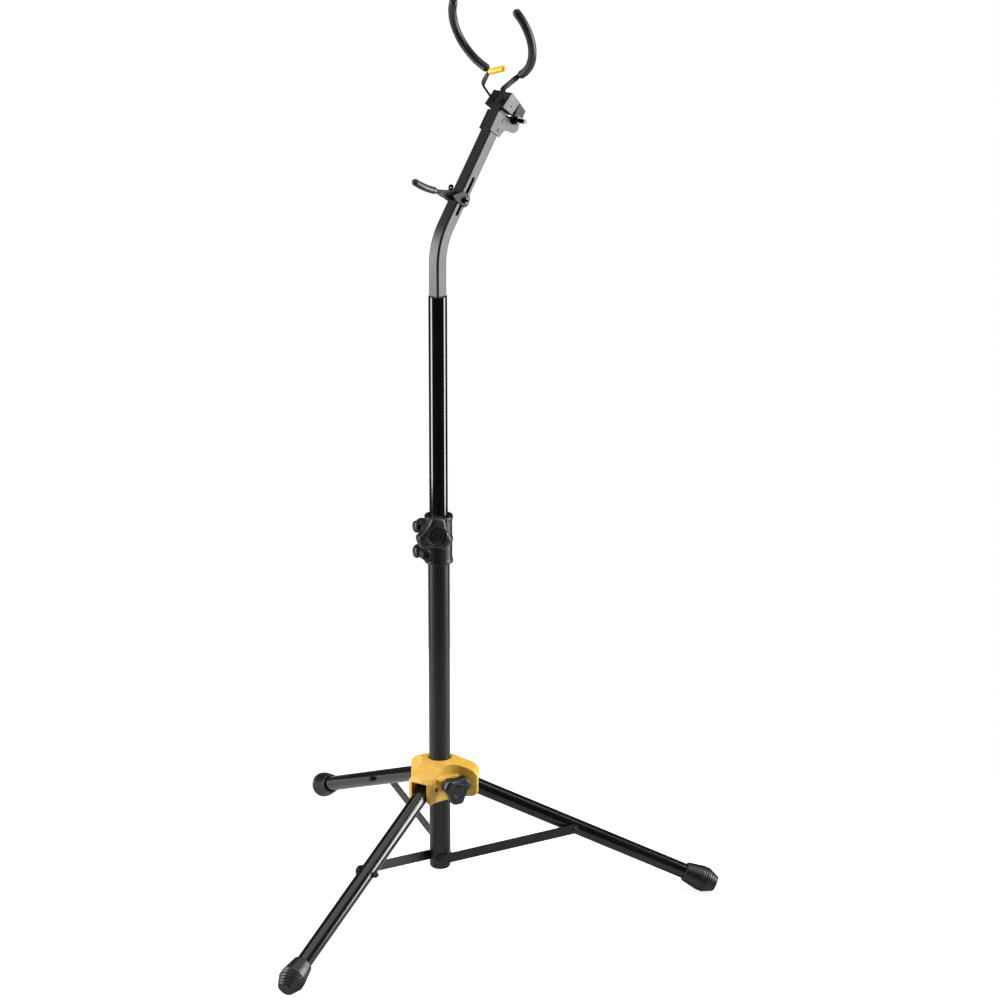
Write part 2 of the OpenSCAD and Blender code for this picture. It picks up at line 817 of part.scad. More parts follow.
module yoke_bracket() color("#6f7175")
    at_neck()
        difference() {
            union() {
                neck_plate([[web[0], 177], [web[1], 177], [web[1], 195.5], [web[0], 195.5]],
                           -block_w / 2, block_w / 2);
                for (side = [-1, 1]) {
                    inner = side > 0 ? bracket_x : -bracket_x - bracket_t;
                    outer = side > 0 ? block_w / 2 - bracket_t : -block_w / 2;
                    neck_plate(bracket_cheek, inner, inner + bracket_t);
                    neck_plate(bracket_side, outer, outer + bracket_t);
                    neck_plate([[web[0], 179], [30, 179], [30, 181.2], [web[0], 181.2]],
                               side > 0 ? bracket_x : -block_w / 2,
                               side > 0 ? block_w / 2 : -bracket_x);
                }
            }
            neck_bar(tilt_at, tilt_r + RUN, -block_w, block_w);
            neck_bar(tilt_at, tilt_room_r, bracket_x + bracket_t + EPS, block_w);
            neck_bar(tilt_at, tilt_room_r, -block_w, -bracket_x - bracket_t - EPS);
            for (x = yoke_rivets_at)
                translate([x, 0, yoke_rivet_l])
                    rotate([-90, 0, 0])
                        cylinder(r = yoke_rivet_r + FIT, h = 2 * web[1]);
        }

function arm_aim() = atan2(elbow[0] - arm_pin[0], elbow[1] - arm_pin[1]);

// In the ring's frame: local z runs up the right arm's strip from its pin, which lies along y.
module at_arm()
    translate([arm_pin[0], arm_m, arm_pin[1]])
        rotate([0, arm_aim(), 0])
            rotate([0, 0, arm_cant])
                children();

// The room that the right arm's strip needs in the block, for its full swing.
module arm_room() {
    side = arm_w / 2 + GAP;
    left = side / cos(arm_close);
    corner = side * tan(22.5);
    at_arm()
        translate([0, arm_t / 2 + GAP, 0])
            rotate([90, 0, 0])
                linear_extrude(arm_t + 2 * GAP)
                    polygon([[side, -corner], [side, 30], [-left - 30 * tan(arm_close), 30], [-left, 0],
                             [-side, -corner], [-corner, -side], [corner, -side]]);
}

module yoke_block() color("#2f3033")
    difference() {
        at_neck()
            intersection() {
                neck_plate(block, -block_w / 2, block_w / 2);
                translate([0, -30, (block[0][1] + block[2][1]) / 2])
                    rotate([-90, 0, 0])
                        linear_extrude(60)
                            square([block_w, 40], center = true);
            }
        at_ring()
            for (side = [0, 1])
                mirror([side, 0, 0]) {
                    arm_room();
                    at_arm()
                        rotate([90, 0, 0])
                            cylinder(r = arm_pin_r + FIT, h = 12.4, center = true);
                }
        at_neck() {
            neck_bar(spring_hole, 1.4, -block_w, -block_w / 2 + 5);
            neck_bar(spring_hole, 1.4, block_w / 2 - 5, block_w);
            for (x = yoke_rivets_at)
                translate([x, yoke_rivet_n - 1, yoke_rivet_l])
                    rotate([-90, 0, 0])
                        cylinder(r = yoke_rivet_r + FIT, h = 2 * web[1]);
        }
    }

module yoke_rivets() color("#2b2c2e")
    at_neck()
        for (x = yoke_rivets_at)
            translate([x, yoke_rivet_n, yoke_rivet_l])
                rotate([-90, 0, 0]) {
                    cylinder(r = yoke_rivet_r, h = web[1] - yoke_rivet_n + EPS);
                    translate([0, 0, web[1] - yoke_rivet_n])
                        cylinder(r1 = yoke_rivet_r + 1.4, r2 = yoke_rivet_r + 0.4, h = 1.3);
                }

module arm_pins() color("#8a8c90")
    at_ring()
        for (side = [0, 1])
            mirror([side, 0, 0])
                at_arm()
                    rotate([90, 0, 0])
                        cylinder(r = arm_pin_r, h = 12, center = true);

// The strip's second run, from the elbow back to the ring.
module arm_return(grow = 0) {
    from = [elbow[0], arm_m, elbow[1]];
    run = arc_start - from;
    translate(from)
        rotate([0, acos(run[2] / norm(run)), atan2(run[1], run[0])])
            rotate([0, 0, arm_twist])
                translate([-arm_w / 2 - grow, -arm_t / 2 - grow, -arm_t / 2])
                    cube([arm_w + 2 * grow, arm_t + 2 * grow, norm(run) + arm_t / 2 + grow]);
}

// The right arm: a flat strip from its pin to the elbow, bent back to the ring, then a round rod.
module arm() {
    strip = norm(elbow - arm_pin);
    difference() {
        union() {
            at_arm()
                translate([0, arm_t / 2, 0])
                    rotate([90, 0, 0])
                        linear_extrude(arm_t) {
                            translate([-arm_w / 2, 0])
                                square([arm_w, strip]);
                            circle(arm_w / 2);
                        }
            arm_return();
            arc(arm_rod_r, arc_from - 1, arc_to - 1);
        }
        at_arm()
            rotate([90, 0, 0])
                cylinder(r = arm_pin_r + RUN, h = arm_w, center = true);
    }
}

// A round bar bent along the right half of the ring, between two angles from its lowest point.
module arc(r, a0, a1)
    rotate([90, 0, 0])
        rotate([0, 0, a0 - 90])
            rotate_extrude(angle = a1 - a0)
                translate([ring_r, 0])
                    circle(r);

module arm_foam()
    difference() {
        union() {
            arc(foam_d / 2, arc_from + 1, arc_to);
            rotate([0, -arc_to + 90, 0])
                translate([ring_r, 0, 0])
                    sphere(foam_d / 2);
        }
        arc(arm_rod_r + FIT, arc_from - 5, arc_to - 0.5);
        arm_return(FIT);
    }

module arm_right() color("#55575b") at_ring() arm();
module arm_left() color("#55575b") at_ring() mirror([1, 0, 0]) arm();
module arm_foam_right() color("#3c3d40") at_ring() arm_foam();
module arm_foam_left() color("#3c3d40") at_ring() mirror([1, 0, 0]) arm_foam();

module trigger_rod() color("#55575b")
    at_ring()
        bar(trigger_from, trigger_from + 0.8 * (trigger_to - trigger_from), trigger_rod_r);

module trigger_sleeve() color("#ffd200")
    at_ring() {
        run = trigger_to - trigger_from;
        translate(trigger_from)
            rotate([0, acos(run[2] / norm(run)), atan2(run[1], run[0])])
                rotate_extrude()
                    difference() {
                        union() {
                            translate([0, trigger_bare])
                                square([trigger_sleeve_r, norm(run) - trigger_bare]);
                            intersection() {
                                translate([0, norm(run)])
                                    circle(trigger_sleeve_r);
                                translate([0, norm(run) - 1])
                                    square(2 * trigger_sleeve_r);
                            }
                        }
                        square([trigger_rod_r + FIT, 0.81 * norm(run)]);
                    }
    }

// ---- support hook ----

module hook_bracket() color("#5c5e62")
    at_neck()
        translate([0, 0, hook_at - 40])
            difference() {
                union() {
                    neck_plate(hook_cheek, hook_x, hook_x + hook_plate_t);
                    neck_plate(hook_cheek, -hook_x - hook_plate_t, -hook_x);
                    neck_plate([[-hook_x - hook_plate_t, 32], [-hook_x, 32], [-hook_x, 46],
                                [-hook_x - hook_plate_t, 46]], -hook_x - 1, hook_x + 1);
                    neck_plate([[-45.5, 26.2], [-45.5, 31], [-26, 40], [-hook_x - 1, 46],
                                [-hook_x - 1, 32], [-28, 27.5]], -1.5, 1.5);
                }
                neck_bar([hook_screw_n, 40], hook_screw_r + RUN, -neck_w, neck_w);
                translate([0, hook_start[0], hook_start[1]])
                    rotate([90 + hook_aim, 0, 0])
                        cylinder(r = hook_rod_r + FIT, h = 16, center = true);
            }

// The rod's centre line is an arc that curves up toward its tip.
module hook_arc_bar(r, a0, a1)
    at_neck()
        translate([0, hook_start[0], hook_start[1] + hook_at - 40])
            rotate([hook_aim, 0, 0])
                translate([0, 0, hook_bend_r])
                    rotate([90, 0, -90])
                        rotate([0, 0, a0 - 90])
                            rotate_extrude(angle = a1 - a0)
                                translate([hook_bend_r, 0])
                                    circle(r);

module hook_rod() color("#5c5e62")
    hook_arc_bar(hook_rod_r, -2, hook_arc - 1);

module hook_foam() color("#3c3d40")
    difference() {
        hook_arc_bar(hook_foam_d / 2, 0.5, hook_arc);
        hook_arc_bar(hook_rod_r + FIT, -4, hook_arc - 0.9);
    }

module hook_wing_screw() color("#2b2c2e")
    at_neck()
        translate([0, hook_screw_n, hook_at]) {
            translate([-hook_x - hook_plate_t - GAP, 0, 0])
                rotate([0, 90, 0])
                    cylinder(r = hook_screw_r, h = 2 * hook_x + 2 * hook_plate_t + 8.5);
            translate([-hook_x - hook_plate_t - GAP - 6, 0, 0])
                rotate([0, 90, 0])
                    cylinder(r = 4.5, h = 6);
            rotate([32, 0, 0])
                translate([-hook_x - hook_plate_t - GAP - 4.5, 0, 0])
                    for (end = [-1, 1])
                        difference() {
                            union() {
                                translate([0, -3, end > 0 ? 0 : -13])
                                    cube([2.4, 6, 13]);
                                translate([0, 0, end * 13])
                                    rotate([0, 90, 0])
                                        cylinder(r = 4.4, h = 2.4);
                            }
                            translate([-1, 0, end * 13])
                                rotate([0, 90, 0])
                                    cylinder(r = 1.6, h = 5);
                        }
        }

module hook_nut() color("#17181a")
    at_neck()
        translate([hook_x + hook_plate_t + FIT, hook_screw_n, hook_at])
            rotate([0, 90, 0])
                difference() {
                    hex(8, 4);
                    translate([0, 0, -1])
                        cylinder(r = hook_screw_r + RUN, h = 6);
                }

lower_tube();
base_plug();
clutch_body();
clutch_pegs();
clutch_clamp_screw();
clutch_nuts();
strut_base_screws();
strut_base_nuts();
clutch_knob();
clutch_stud();
clutch_knob_badge();
collar();
leg_hinge_pins();
collar_insert();
collar_knob();
collar_stud();
collar_knob_badge();
clutch_bush();
upper_tube();
tube_glide();
neck_insert();
neck_tube();
neck_plug();
head_cap();
cap_rivets();
tilt_bolt();
tilt_nut();
yoke_bracket();
yoke_block();
yoke_rivets();
arm_pins();
arm_left();
arm_right();
arm_foam_left();
arm_foam_right();
trigger_rod();
trigger_sleeve();
hook_bracket();
hook_rod();
hook_foam();
hook_wing_screw();
hook_nut();
for (leg = [0 : 2]) {
    leg_tube(leg);
    leg_end(leg);
    rubber_foot(leg);
    leg_bolt(leg);
    strut(leg);
    strut_screw(leg);
}
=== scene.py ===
"""Looks of the saxophone stand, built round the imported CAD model.

Shapes are laid out in millimetres and made in metres.
"""

import json
import math

import bmesh
import bpy
from mathutils import Matrix, Vector, noise

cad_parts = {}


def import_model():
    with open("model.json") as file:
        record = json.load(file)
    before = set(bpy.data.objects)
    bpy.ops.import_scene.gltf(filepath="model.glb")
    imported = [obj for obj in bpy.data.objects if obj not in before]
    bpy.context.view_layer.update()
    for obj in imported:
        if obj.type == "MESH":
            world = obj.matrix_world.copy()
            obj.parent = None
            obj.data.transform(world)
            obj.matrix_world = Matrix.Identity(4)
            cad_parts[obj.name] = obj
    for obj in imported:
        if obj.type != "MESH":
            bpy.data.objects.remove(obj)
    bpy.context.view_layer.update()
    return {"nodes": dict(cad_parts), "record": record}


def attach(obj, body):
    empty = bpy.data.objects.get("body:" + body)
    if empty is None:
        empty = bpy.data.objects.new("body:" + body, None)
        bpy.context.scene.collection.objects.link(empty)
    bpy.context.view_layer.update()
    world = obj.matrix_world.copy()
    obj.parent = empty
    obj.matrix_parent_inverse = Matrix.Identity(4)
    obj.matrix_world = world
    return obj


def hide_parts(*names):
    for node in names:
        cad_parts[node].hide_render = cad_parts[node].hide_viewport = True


MM = 0.001
LEGS = ("front", "right", "rear")

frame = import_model()
nodes = frame["nodes"]

# ---- driving sizes, in millimetres and degrees ----

FIRST_LEG_ANGLE = 282
HINGE_R, HINGE_Z = 34, 168.6
FOOT_REACH, FOOT_Z = 393.6, 10
LEG_R, LEG_WALL, LEG_SHORT = 11, 1.5, 8
LEG_RUN, LEG_DROP = FOOT_REACH - HINGE_R, HINGE_Z - FOOT_Z
LEG_LEN = math.hypot(LEG_RUN, LEG_DROP)
LEG_SLOPE = math.degrees(math.atan2(LEG_DROP, LEG_RUN))
LEG_OVER = 7.5
PIVOT_TO_FOOT = 222.7
STRUT_PIVOT = LEG_LEN - PIVOT_TO_FOOT
STRUT_BASE_Z = 50
STRUT_R = HINGE_R + STRUT_PIVOT * math.cos(math.radians(LEG_SLOPE))
STRUT_RISE = HINGE_Z - STRUT_PIVOT * math.sin(math.radians(LEG_SLOPE)) - STRUT_BASE_Z
STRUT_LEN = math.hypot(STRUT_R, STRUT_RISE)
STRUT_TILT = math.degrees(math.atan2(STRUT_R, STRUT_RISE))
STRUT_IN, STRUT_T, STRUT_W = 12.71, 2.5, 14

LOWER_R, LOWER_Z = 15, (35, 541)
UPPER_R, UPPER_WALL, UPPER_Z = 12.7, 1, (470, 877.5)
MAST_FLAT, FLAT_Z, FLAT_FADE = 12.36, 141, 22
CLUTCH_AXIS = -22
CLUTCH_KNOB = (549, 20)
CLUTCH_KNOB_OUT, COLLAR_KNOB_OUT = 18.35, 28.5
COLLAR_KNOB = (FIRST_LEG_ANGLE + 60, 173)
KNOB_T, BADGE_H = 15, 0.78
PEG_X, PEG_Y, PEG_Z = -4.5, -24.52, (514, 551)
SINK_R, SINK_DEPTH, SINK_SIDE = 4.3, 1.8, 18.5
HOLLOW_R, HOLLOW_AT = 46, 71

NECK_W, NECK_WALL, NECK_CORNER = 18, 1.5, 2.8
NECK_LEAN, NECK_BEND_R, NECK_BEND_Z, NECK_LEN, NECK_IN = 36.7, 86.6, 920.5, 171, 45
SLOT_N, SLOT_L, SLOT_W = 0.6, (16, 74.5), 5

RING_Y, RING_Z, RING_LEAN, RING_R = 107.2, 1221.3, 22.4, 69
ARC = (25.5, 122.6)
FOAM_R, HOOK_FOAM_R = 5.8, 4.9
ARM_ROD_R, ARM_T, ARM_W = 2.5, 2.7, 7.5
SLEEVE_BORE = ARM_ROD_R + 0.05
ARM_PIN, ELBOW, ARM_M, ARM_CANT = (5.2, -96), (18.9, -69.5), -27, 32
TRIGGER = (Vector((-24.5, -6.6, -62.8)), Vector((3.6, -3.2, -54.5)))
TRIGGER_R, TRIGGER_ROD_R, TRIGGER_ROD_SHARE = 4.2, 2, 0.8
HOOK_START, HOOK_BEND_R, HOOK_ARC, HOOK_AIM = (-46, 28.6), 170, 16.2, 19

# ---- the studio, in metres ----

CAMERA_AT, CAMERA_AIM = Vector((3.01289, -3.11994, 2.05120)), Vector((-0.64473, 0.69423, -0.31994))
CAMERA_LENS, CAMERA_SENSOR, CAMERA_ROLL = 119.67, 36, math.radians(0.1)
FLOOR_R, FLOOR_DROP, FLOOR_SEEN = 0.95, 0.0002, 0.84
SOFTBOX_OUT, SOFTBOX_AIM = 1.6, Vector((0, 0, 0.85))


# ---- frames: each turns local millimetres into the row frame's ----


def turn(axis, degrees):
    return Matrix.Rotation(math.radians(degrees), 4, axis)


def move(x, y, z):
    return Matrix.Translation((x, y, z))


def leg_angle(leg):
    return FIRST_LEG_ANGLE + 120 * LEGS.index(leg)


def at_leg(leg):
    """Local z runs down the leg from its hinge; the strut is on the -y side."""
    return turn("Z", leg_angle(leg)) @ move(HINGE_R, 0, HINGE_Z) @ turn("Y", 90 + LEG_SLOPE)


def at_strut(leg):
    return turn("Z", leg_angle(leg)) @ move(0, 0, STRUT_BASE_Z) @ turn("Y", STRUT_TILT)


def at_clutch_screw(z, offset):
    """Local z runs out along a screw that crosses the clutch's ears."""
    return turn("Z", CLUTCH_AXIS) @ move(0, -offset, z) @ turn("Y", 90)


def at_collar_knob():
    return turn("Z", COLLAR_KNOB[0]) @ move(0, 0, COLLAR_KNOB[1]) @ turn("Y", 90)


def at_neck():
    """Local z runs up the leaning neck from the end of its bend; local y points to the rear."""
    lean = math.radians(NECK_LEAN)
    top = (0, NECK_BEND_R * (1 - math.cos(lean)), NECK_BEND_Z + NECK_BEND_R * math.sin(lean))
    return move(*top) @ turn("X", -NECK_LEAN)


def at_ring():
    return move(0, RING_Y, RING_Z) @ turn("X", RING_LEAN)


def at_arm():
    """In the ring's frame: local z runs up the right arm's strip from its pin, which lies along y."""
    aim = math.degrees(math.atan2(ELBOW[0] - ARM_PIN[0], ELBOW[1] - ARM_PIN[1]))
    return move(ARM_PIN[0], ARM_M, ARM_PIN[1]) @ turn("Y", aim) @ turn("Z", ARM_CANT)


MIRROR_X = Matrix.Diagonal((-1, 1, 1, 1))


# ---- materials ----


class Shader:
    """A material whose texture space is the row frame, in millimetres."""

    def __init__(self, name, colour, roughness, **inputs):
        self.material = bpy.data.materials.new(name)
        self.material.use_nodes = True
        self.tree = self.material.node_tree
        self.surface = self.tree.nodes["Principled BSDF"]
        self.colour = colour
        for socket, value in {"Base Color": (*colour, 1), "Roughness": roughness, **inputs}.items():
            self.surface.inputs[socket].default_value = value
        coords = self.tree.nodes.new("ShaderNodeTexCoord")
        scaled = self.tree.nodes.new("ShaderNodeVectorMath")
        scaled.operation = "SCALE"
        scaled.inputs["Scale"].default_value = 1 / MM
        self.tree.links.new(coords.outputs["Object"], scaled.inputs[0])
        self.space = scaled.outputs[0]

    def noise(self, size, detail=3, roughness=0.5, stretch=(1, 1, 1)):
        """Noise whose largest grain is about size millimetres; a stretched axis has longer grain."""
        squeezed = self.tree.nodes.new("ShaderNodeVectorMath")
        squeezed.operation = "MULTIPLY"
        squeezed.inputs[1].default_value = [1 / s for s in stretch]
        self.tree.links.new(self.space, squeezed.inputs[0])
        made = self.tree.nodes.new("ShaderNodeTexNoise")
        made.inputs["Scale"].default_value = 1 / size
        made.inputs["Detail"].default_value = detail
        made.inputs["Roughness"].default_value = roughness
        self.tree.links.new(squeezed.outputs[0], made.inputs["Vector"])
        return made.outputs["Fac"]

    def cells(self, size):
        """Round grains about size millimetres apart."""
        made = self.tree.nodes.new("ShaderNodeTexVoronoi")
        made.inputs["Scale"].default_value = 1 / size
        self.tree.links.new(self.space, made.inputs["Vector"])
        return made.outputs["Distance"]

    def spread(self, value, low, high, start=0.3, end=0.7):
        """Value from start to end becomes low to high."""
        made = self.tree.nodes.new("ShaderNodeMapRange")
        for socket, number in zip(("From Min", "From Max", "To Min", "To Max"), (start, end, low, high)):
            made.inputs[socket].default_value = number
        self.tree.links.new(value, made.inputs["Value"])
        return made.outputs["Result"]

    def vary_roughness(self, value, low, high):
        self.tree.links.new(self.spread(value, low, high), self.surface.inputs["Roughness"])

    def vary_colour(self, value, other, start=0.35, end=0.65):
        """The base colour turns into the other one as value goes from start to end."""
        mix = self.tree.nodes.new("ShaderNodeMix")
        mix.data_type = "RGBA"
        base = self.surface.inputs["Base Color"]
        if base.is_linked:
            self.tree.links.new(base.links[0].from_socket, mix.inputs["A"])
        else:
            mix.inputs["A"].default_value = (*self.colour, 1)
        mix.inputs["B"].default_value = (*other, 1)
        self.tree.links.new(self.spread(value, 0, 1, start, end), mix.inputs["Factor"])
        self.tree.links.new(mix.outputs["Result"], base)

    def paint_edge_highlight(self, other, start=0.56, end=0.66):
        """Painted edge highlight: the sharp edges turn to the other, paler colour."""
        # Pointiness picks out the edges, which get the painted highlight colour.
        geometry = self.tree.nodes.new("ShaderNodeNewGeometry")
        self.vary_colour(geometry.outputs["Pointiness"], other, start, end)

    def bump(self, value, height, strength):
        """Height is in millimetres. A second bump rides on the first."""
        made = self.tree.nodes.new("ShaderNodeBump")
        made.inputs["Strength"].default_value = strength
        made.inputs["Distance"].default_value = height * MM
        normal = self.surface.inputs["Normal"]
        if normal.is_linked:
            self.tree.links.new(normal.links[0].from_socket, made.inputs["Normal"])
        self.tree.links.new(value, made.inputs["Height"])
        self.tree.links.new(made.outputs["Normal"], normal)


def paint(name, colour, roughness, orange_peel, spread=0.02, **inputs):
    """Baked enamel on steel: faint orange peel, uneven gloss and a little dust in the finish."""
    made = Shader(name, colour, roughness, **inputs)
    made.bump(made.noise(5, 2), orange_peel, 0.4)
    made.vary_roughness(made.noise(28, 4, 0.6), roughness - spread, roughness + spread)
    made.vary_colour(made.noise(60, 3), tuple(c * 1.5 + 0.002 for c in colour), 0.4, 0.8)
    return made.material


def moulded(name, colour, roughness, grain=0.05, light=None, **inputs):
    """Injection-moulded plastic: spark-eroded grain, soft patches of gloss, and paler edges that are a painted
    highlight.
    """
    made = Shader(name, colour, roughness, **inputs)
    made.bump(made.cells(0.75), grain, 0.5)
    made.vary_roughness(made.noise(9, 4, 0.6), roughness - 0.07, roughness + 0.07)
    made.vary_colour(made.noise(22, 3), tuple(c * 1.3 + 0.002 for c in colour), 0.4, 0.8)
    # The light colour goes on the edges as a painted highlight.
    if light:
        made.paint_edge_highlight(light)
    return made.material


def rubbery(name, colour, roughness, pore, depth, **inputs):
    """Rubber or foam: a fine pored skin over soft unevenness, with duller and paler patches."""
    made = Shader(name, colour, roughness, **inputs)
    made.bump(made.noise(pore * 6, 4, 0.6), depth, 0.6)
    made.bump(made.cells(pore), depth, 0.7)
    made.vary_roughness(made.noise(14, 4), roughness - 0.08, roughness + 0.08)
    made.vary_colour(made.noise(18, 4, 0.65), tuple(c * 1.45 for c in colour), 0.42, 0.75)
    return made.material


def metal(name, colour, roughness, brushed):
    """Bare metal, faintly brushed along the axis that is stretched, and dull in places."""
    made = Shader(name, colour, roughness, Metallic=1.0)
    made.bump(made.noise(0.5, 2, 0.5, brushed), 0.02, 0.5)
    made.vary_roughness(made.noise(3, 4), roughness - 0.08, roughness + 0.1)
    made.vary_colour(made.noise(6, 3), tuple(c * 0.72 for c in colour), 0.45, 0.8)
    return made.material


MATERIALS = {
    "lower_tube_paint": paint("lower_tube_paint", (0.006, 0.0062, 0.0068), 0.34, 0.003),
    "upper_tube_paint": paint("upper_tube_paint", (0.0028, 0.0028, 0.003), 0.09, 0.0003, 0.012),
    "neck_paint": paint("neck_paint", (0.009, 0.0092, 0.0098), 0.43, 0.003),
    "leg_paint": paint("leg_paint", (0.0032, 0.0034, 0.0038), 0.12, 0.0004, 0.015),
    "strut_paint": paint("strut_paint", (0.007, 0.0072, 0.0078), 0.40, 0.003),
    "bracket_paint": paint("bracket_paint", (0.010, 0.0103, 0.011), 0.52, 0.001, 0.01,
                           **{"Specular IOR Level": 0.27}),
    "arm_paint": paint("arm_paint", (0.012, 0.0123, 0.0132), 0.38, 0.003),
    "black_fastener": paint("black_fastener", (0.0035, 0.0035, 0.0038), 0.32, 0.001),
    "zinc_fastener": metal("zinc_fastener", (0.60, 0.61, 0.63), 0.34, (1, 1, 8)),
    "black_plastic": moulded("black_plastic", (0.0075, 0.0078, 0.0084), 0.40, 0.0015),
    "badge_plastic": moulded("badge_plastic", (0.005, 0.005, 0.0055), 0.26, 0.004),
    # The collar's last colour is its painted edge highlight, in the colour of its lit side.
    "collar_plastic": moulded("collar_plastic", (0.66, 0.375, 0.050), 0.44, 0.02, (0.86, 0.58, 0.15)),
    "brass": metal("brass", (0.72, 0.50, 0.20), 0.30, (1, 1, 6)),
    "glide_plastic": moulded("glide_plastic", (0.62, 0.62, 0.58), 0.45, 0.01),
    "foam": rubbery("foam", (0.0095, 0.0098, 0.0106), 0.42, 0.5, 0.002,
                    **{"Sheen Weight": 0.12, "Sheen Roughness": 0.4}),
    # The trigger's last colour is its painted edge highlight.
    "trigger_plastic": moulded("trigger_plastic", (0.92, 0.56, 0.003), 0.36, 0.015, (0.95, 0.65, 0.02)),
    "foot_rubber": rubbery("foot_rubber", (0.005, 0.0052, 0.0057), 0.36, 0.6, 0.003),
}

slot_of = {s["node"]: s["material_slot"] for s in frame["record"]["subparts"]}
body_of = {n: b for b, members in frame["record"]["behaviour"]["bodies"].items() for n in members}
for node, cad in nodes.items():
    cad.data.materials.clear()
    cad.data.materials.append(MATERIALS[slot_of[node]])


# ---- making pieces ----


def within(x):
    return max(0.0, min(1.0, x))


def ease(x):
    """0 to 1, with a soft start and end."""
    x = within(x)
    return x * x * (3 - 2 * x)


def soft_min(a, b, blend):
    """The smaller of two lengths; where they are closer than the blend, it passes smoothly from one to the other."""
    h = within(0.5 + 0.5 * (b - a) / blend)
    return b * (1 - h) + a * h - blend * h * (1 - h)


def piece(name, bm, replaced, sharp=32, matrix=None):
    """Turns a bmesh in millimetres into a finished piece that stands for the replaced CAD nodes."""
    if matrix is not None:
        bm.transform(matrix)
    bmesh.ops.recalc_face_normals(bm, faces=bm.faces)
    bm.transform(Matrix.Scale(MM, 4))
    mesh = bpy.data.meshes.new(name)
    bm.to_mesh(mesh)
    bm.free()
    mesh.shade_smooth()
    mesh.set_sharp_from_angle(angle=math.radians(sharp))
    made = bpy.data.objects.new(name, mesh)
    bpy.context.scene.collection.objects.link(made)
    level = made.modifiers.new("level", "WEIGHTED_NORMAL")
    level.keep_sharp = True
    level.weight = 80
    slot = slot_of[replaced[0]]
    mesh.materials.append(MATERIALS[slot])
    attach(made, body_of[replaced[0]])
    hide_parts(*replaced)
    return made


def rings(bm, loops, closed=False):
    """Skins a list of loops of points, each as long as the first. A loop of one point is an end."""
    made = [[bm.verts.new(p) for p in loop] for loop in loops]
    pairs = list(zip(made, made[1:]))
    if closed:
        pairs.append((made[-1], made[0]))
    for low, high in pairs:
        count = max(len(low), len(high))
        for i in range(count):
            j = (i + 1) % count
            corners = [low[i % len(low)], low[j % len(low)], high[j % len(high)], high[i % len(high)]]
            bm.faces.new(list(dict.fromkeys(corners)))
    return made


def capped(bm, loops):
    """Skins loops as rings does, with a flat face on the first and on the last."""
    made = rings(bm, loops)
    bm.faces.new(made[0])
    bm.faces.new(made[-1])
    return bm


def placed(bm, start, matrix):
    """Moves the vertices that were made since the bmesh had start of them."""
    if matrix is not None:
        bm.verts.ensure_lookup_table()
        bmesh.ops.transform(bm, matrix=matrix, verts=bm.verts[start:])
    return bm


def heading(path, i):
    """A path's direction at its point i."""
    return (path[min(i + 1, len(path) - 1)] - path[max(i - 1, 0)]).normalized()


def circle(r, z, steps):
    return [
        (r * math.cos(2 * math.pi * i / steps), r * math.sin(2 * math.pi * i / steps), z)
        for i in range(steps)
    ]


def lathe(bm, profile, steps=64, closed=False, matrix=None):
    """Turns [r, z] points about local z. Where r is 0 the solid is closed by a point."""
    start = len(bm.verts)
    rings(bm, [[(0, 0, z)] if r == 0 else circle(r, z, steps) for r, z in profile], closed)
    return placed(bm, start, matrix)


def fillet(corner, before, after, r, steps=4):
    """Points that round off a profile's corner."""
    c, a, b = Vector(corner), Vector(before), Vector(after)
    u, v = (a - c).normalized(), (b - c).normalized()
    half = math.acos(max(-1, min(1, u.dot(v)))) / 2
    reach = min(r / math.tan(half), 0.49 * (a - c).length, 0.49 * (b - c).length)
    r = reach * math.tan(half)
    middle = c + (u + v).normalized() * (r / math.sin(half))
    first, last = c + u * reach - middle, c + v * reach - middle
    return [
        tuple(middle + (first * (1 - t / steps) + last * (t / steps)).normalized() * r)
        for t in range(steps + 1)
    ]


def rounded(profile, r, closed=True, steps=3):
    """The same profile with every corner rounded; an open one keeps its two ends."""
    made = []
    count = len(profile)
    for i, corner in enumerate(profile):
        if not closed and i in (0, count - 1):
            made.append(tuple(corner))
            continue
        made += fillet(corner, profile[i - 1], profile[(i + 1) % count], r, steps)
    return made


def sweep(bm, path, section, normal):
    """Carries a section along a path. section(i) gives [a, b] points; a lies along normal(i), b square to it."""
    loops = []
    for i, point in enumerate(path):
        ahead, side = heading(path, i), normal(i)
        side = (side - ahead * side.dot(ahead)).normalized()
        other = ahead.cross(side)
        loops.append([point + side * a + other * b for a, b in section(i)])
    return capped(bm, loops)


def prism(bm, outline, z0, z1, edge=0.4, matrix=None):
    """An outline of [x, y] points raised from z0 to z1, with rounded rims."""
    centre = [sum(p[k] for p in outline) / len(outline) for k in (0, 1)]
    start = len(bm.verts)

    def inset(by):
        made = []
        for i, p in enumerate(outline):
            a, b = Vector(outline[i - 1]), Vector(outline[(i + 1) % len(outline)])
            along = (b - a).normalized()
            inward = Vector((-along.y, along.x))
            if inward.dot(Vector(centre) - Vector(p)) < 0:
                inward = -inward
            made.append(Vector(p) + inward * by)
        return made

    levels = [(edge, z0), (edge * 0.3, z0 + edge * 0.3), (0, z0 + edge)]
    levels += [(0, z1 - edge), (edge * 0.3, z1 - edge * 0.3), (edge, z1)]
    capped(bm, [[(p.x, p.y, z) for p in inset(by)] for by, z in levels])
    return placed(bm, start, matrix)


def cad_copy(*names):
    """The named CAD nodes as one welded bmesh, in millimetres."""
    bm = bmesh.new()
    for name in names:
        bm.from_mesh(nodes[name].data)
    bm.transform(Matrix.Scale(1 / MM, 4))
    bmesh.ops.remove_doubles(bm, verts=bm.verts, dist=0.002)
    bmesh.ops.dissolve_limit(bm, angle_limit=math.radians(0.6), verts=bm.verts, edges=bm.edges)
    return bm


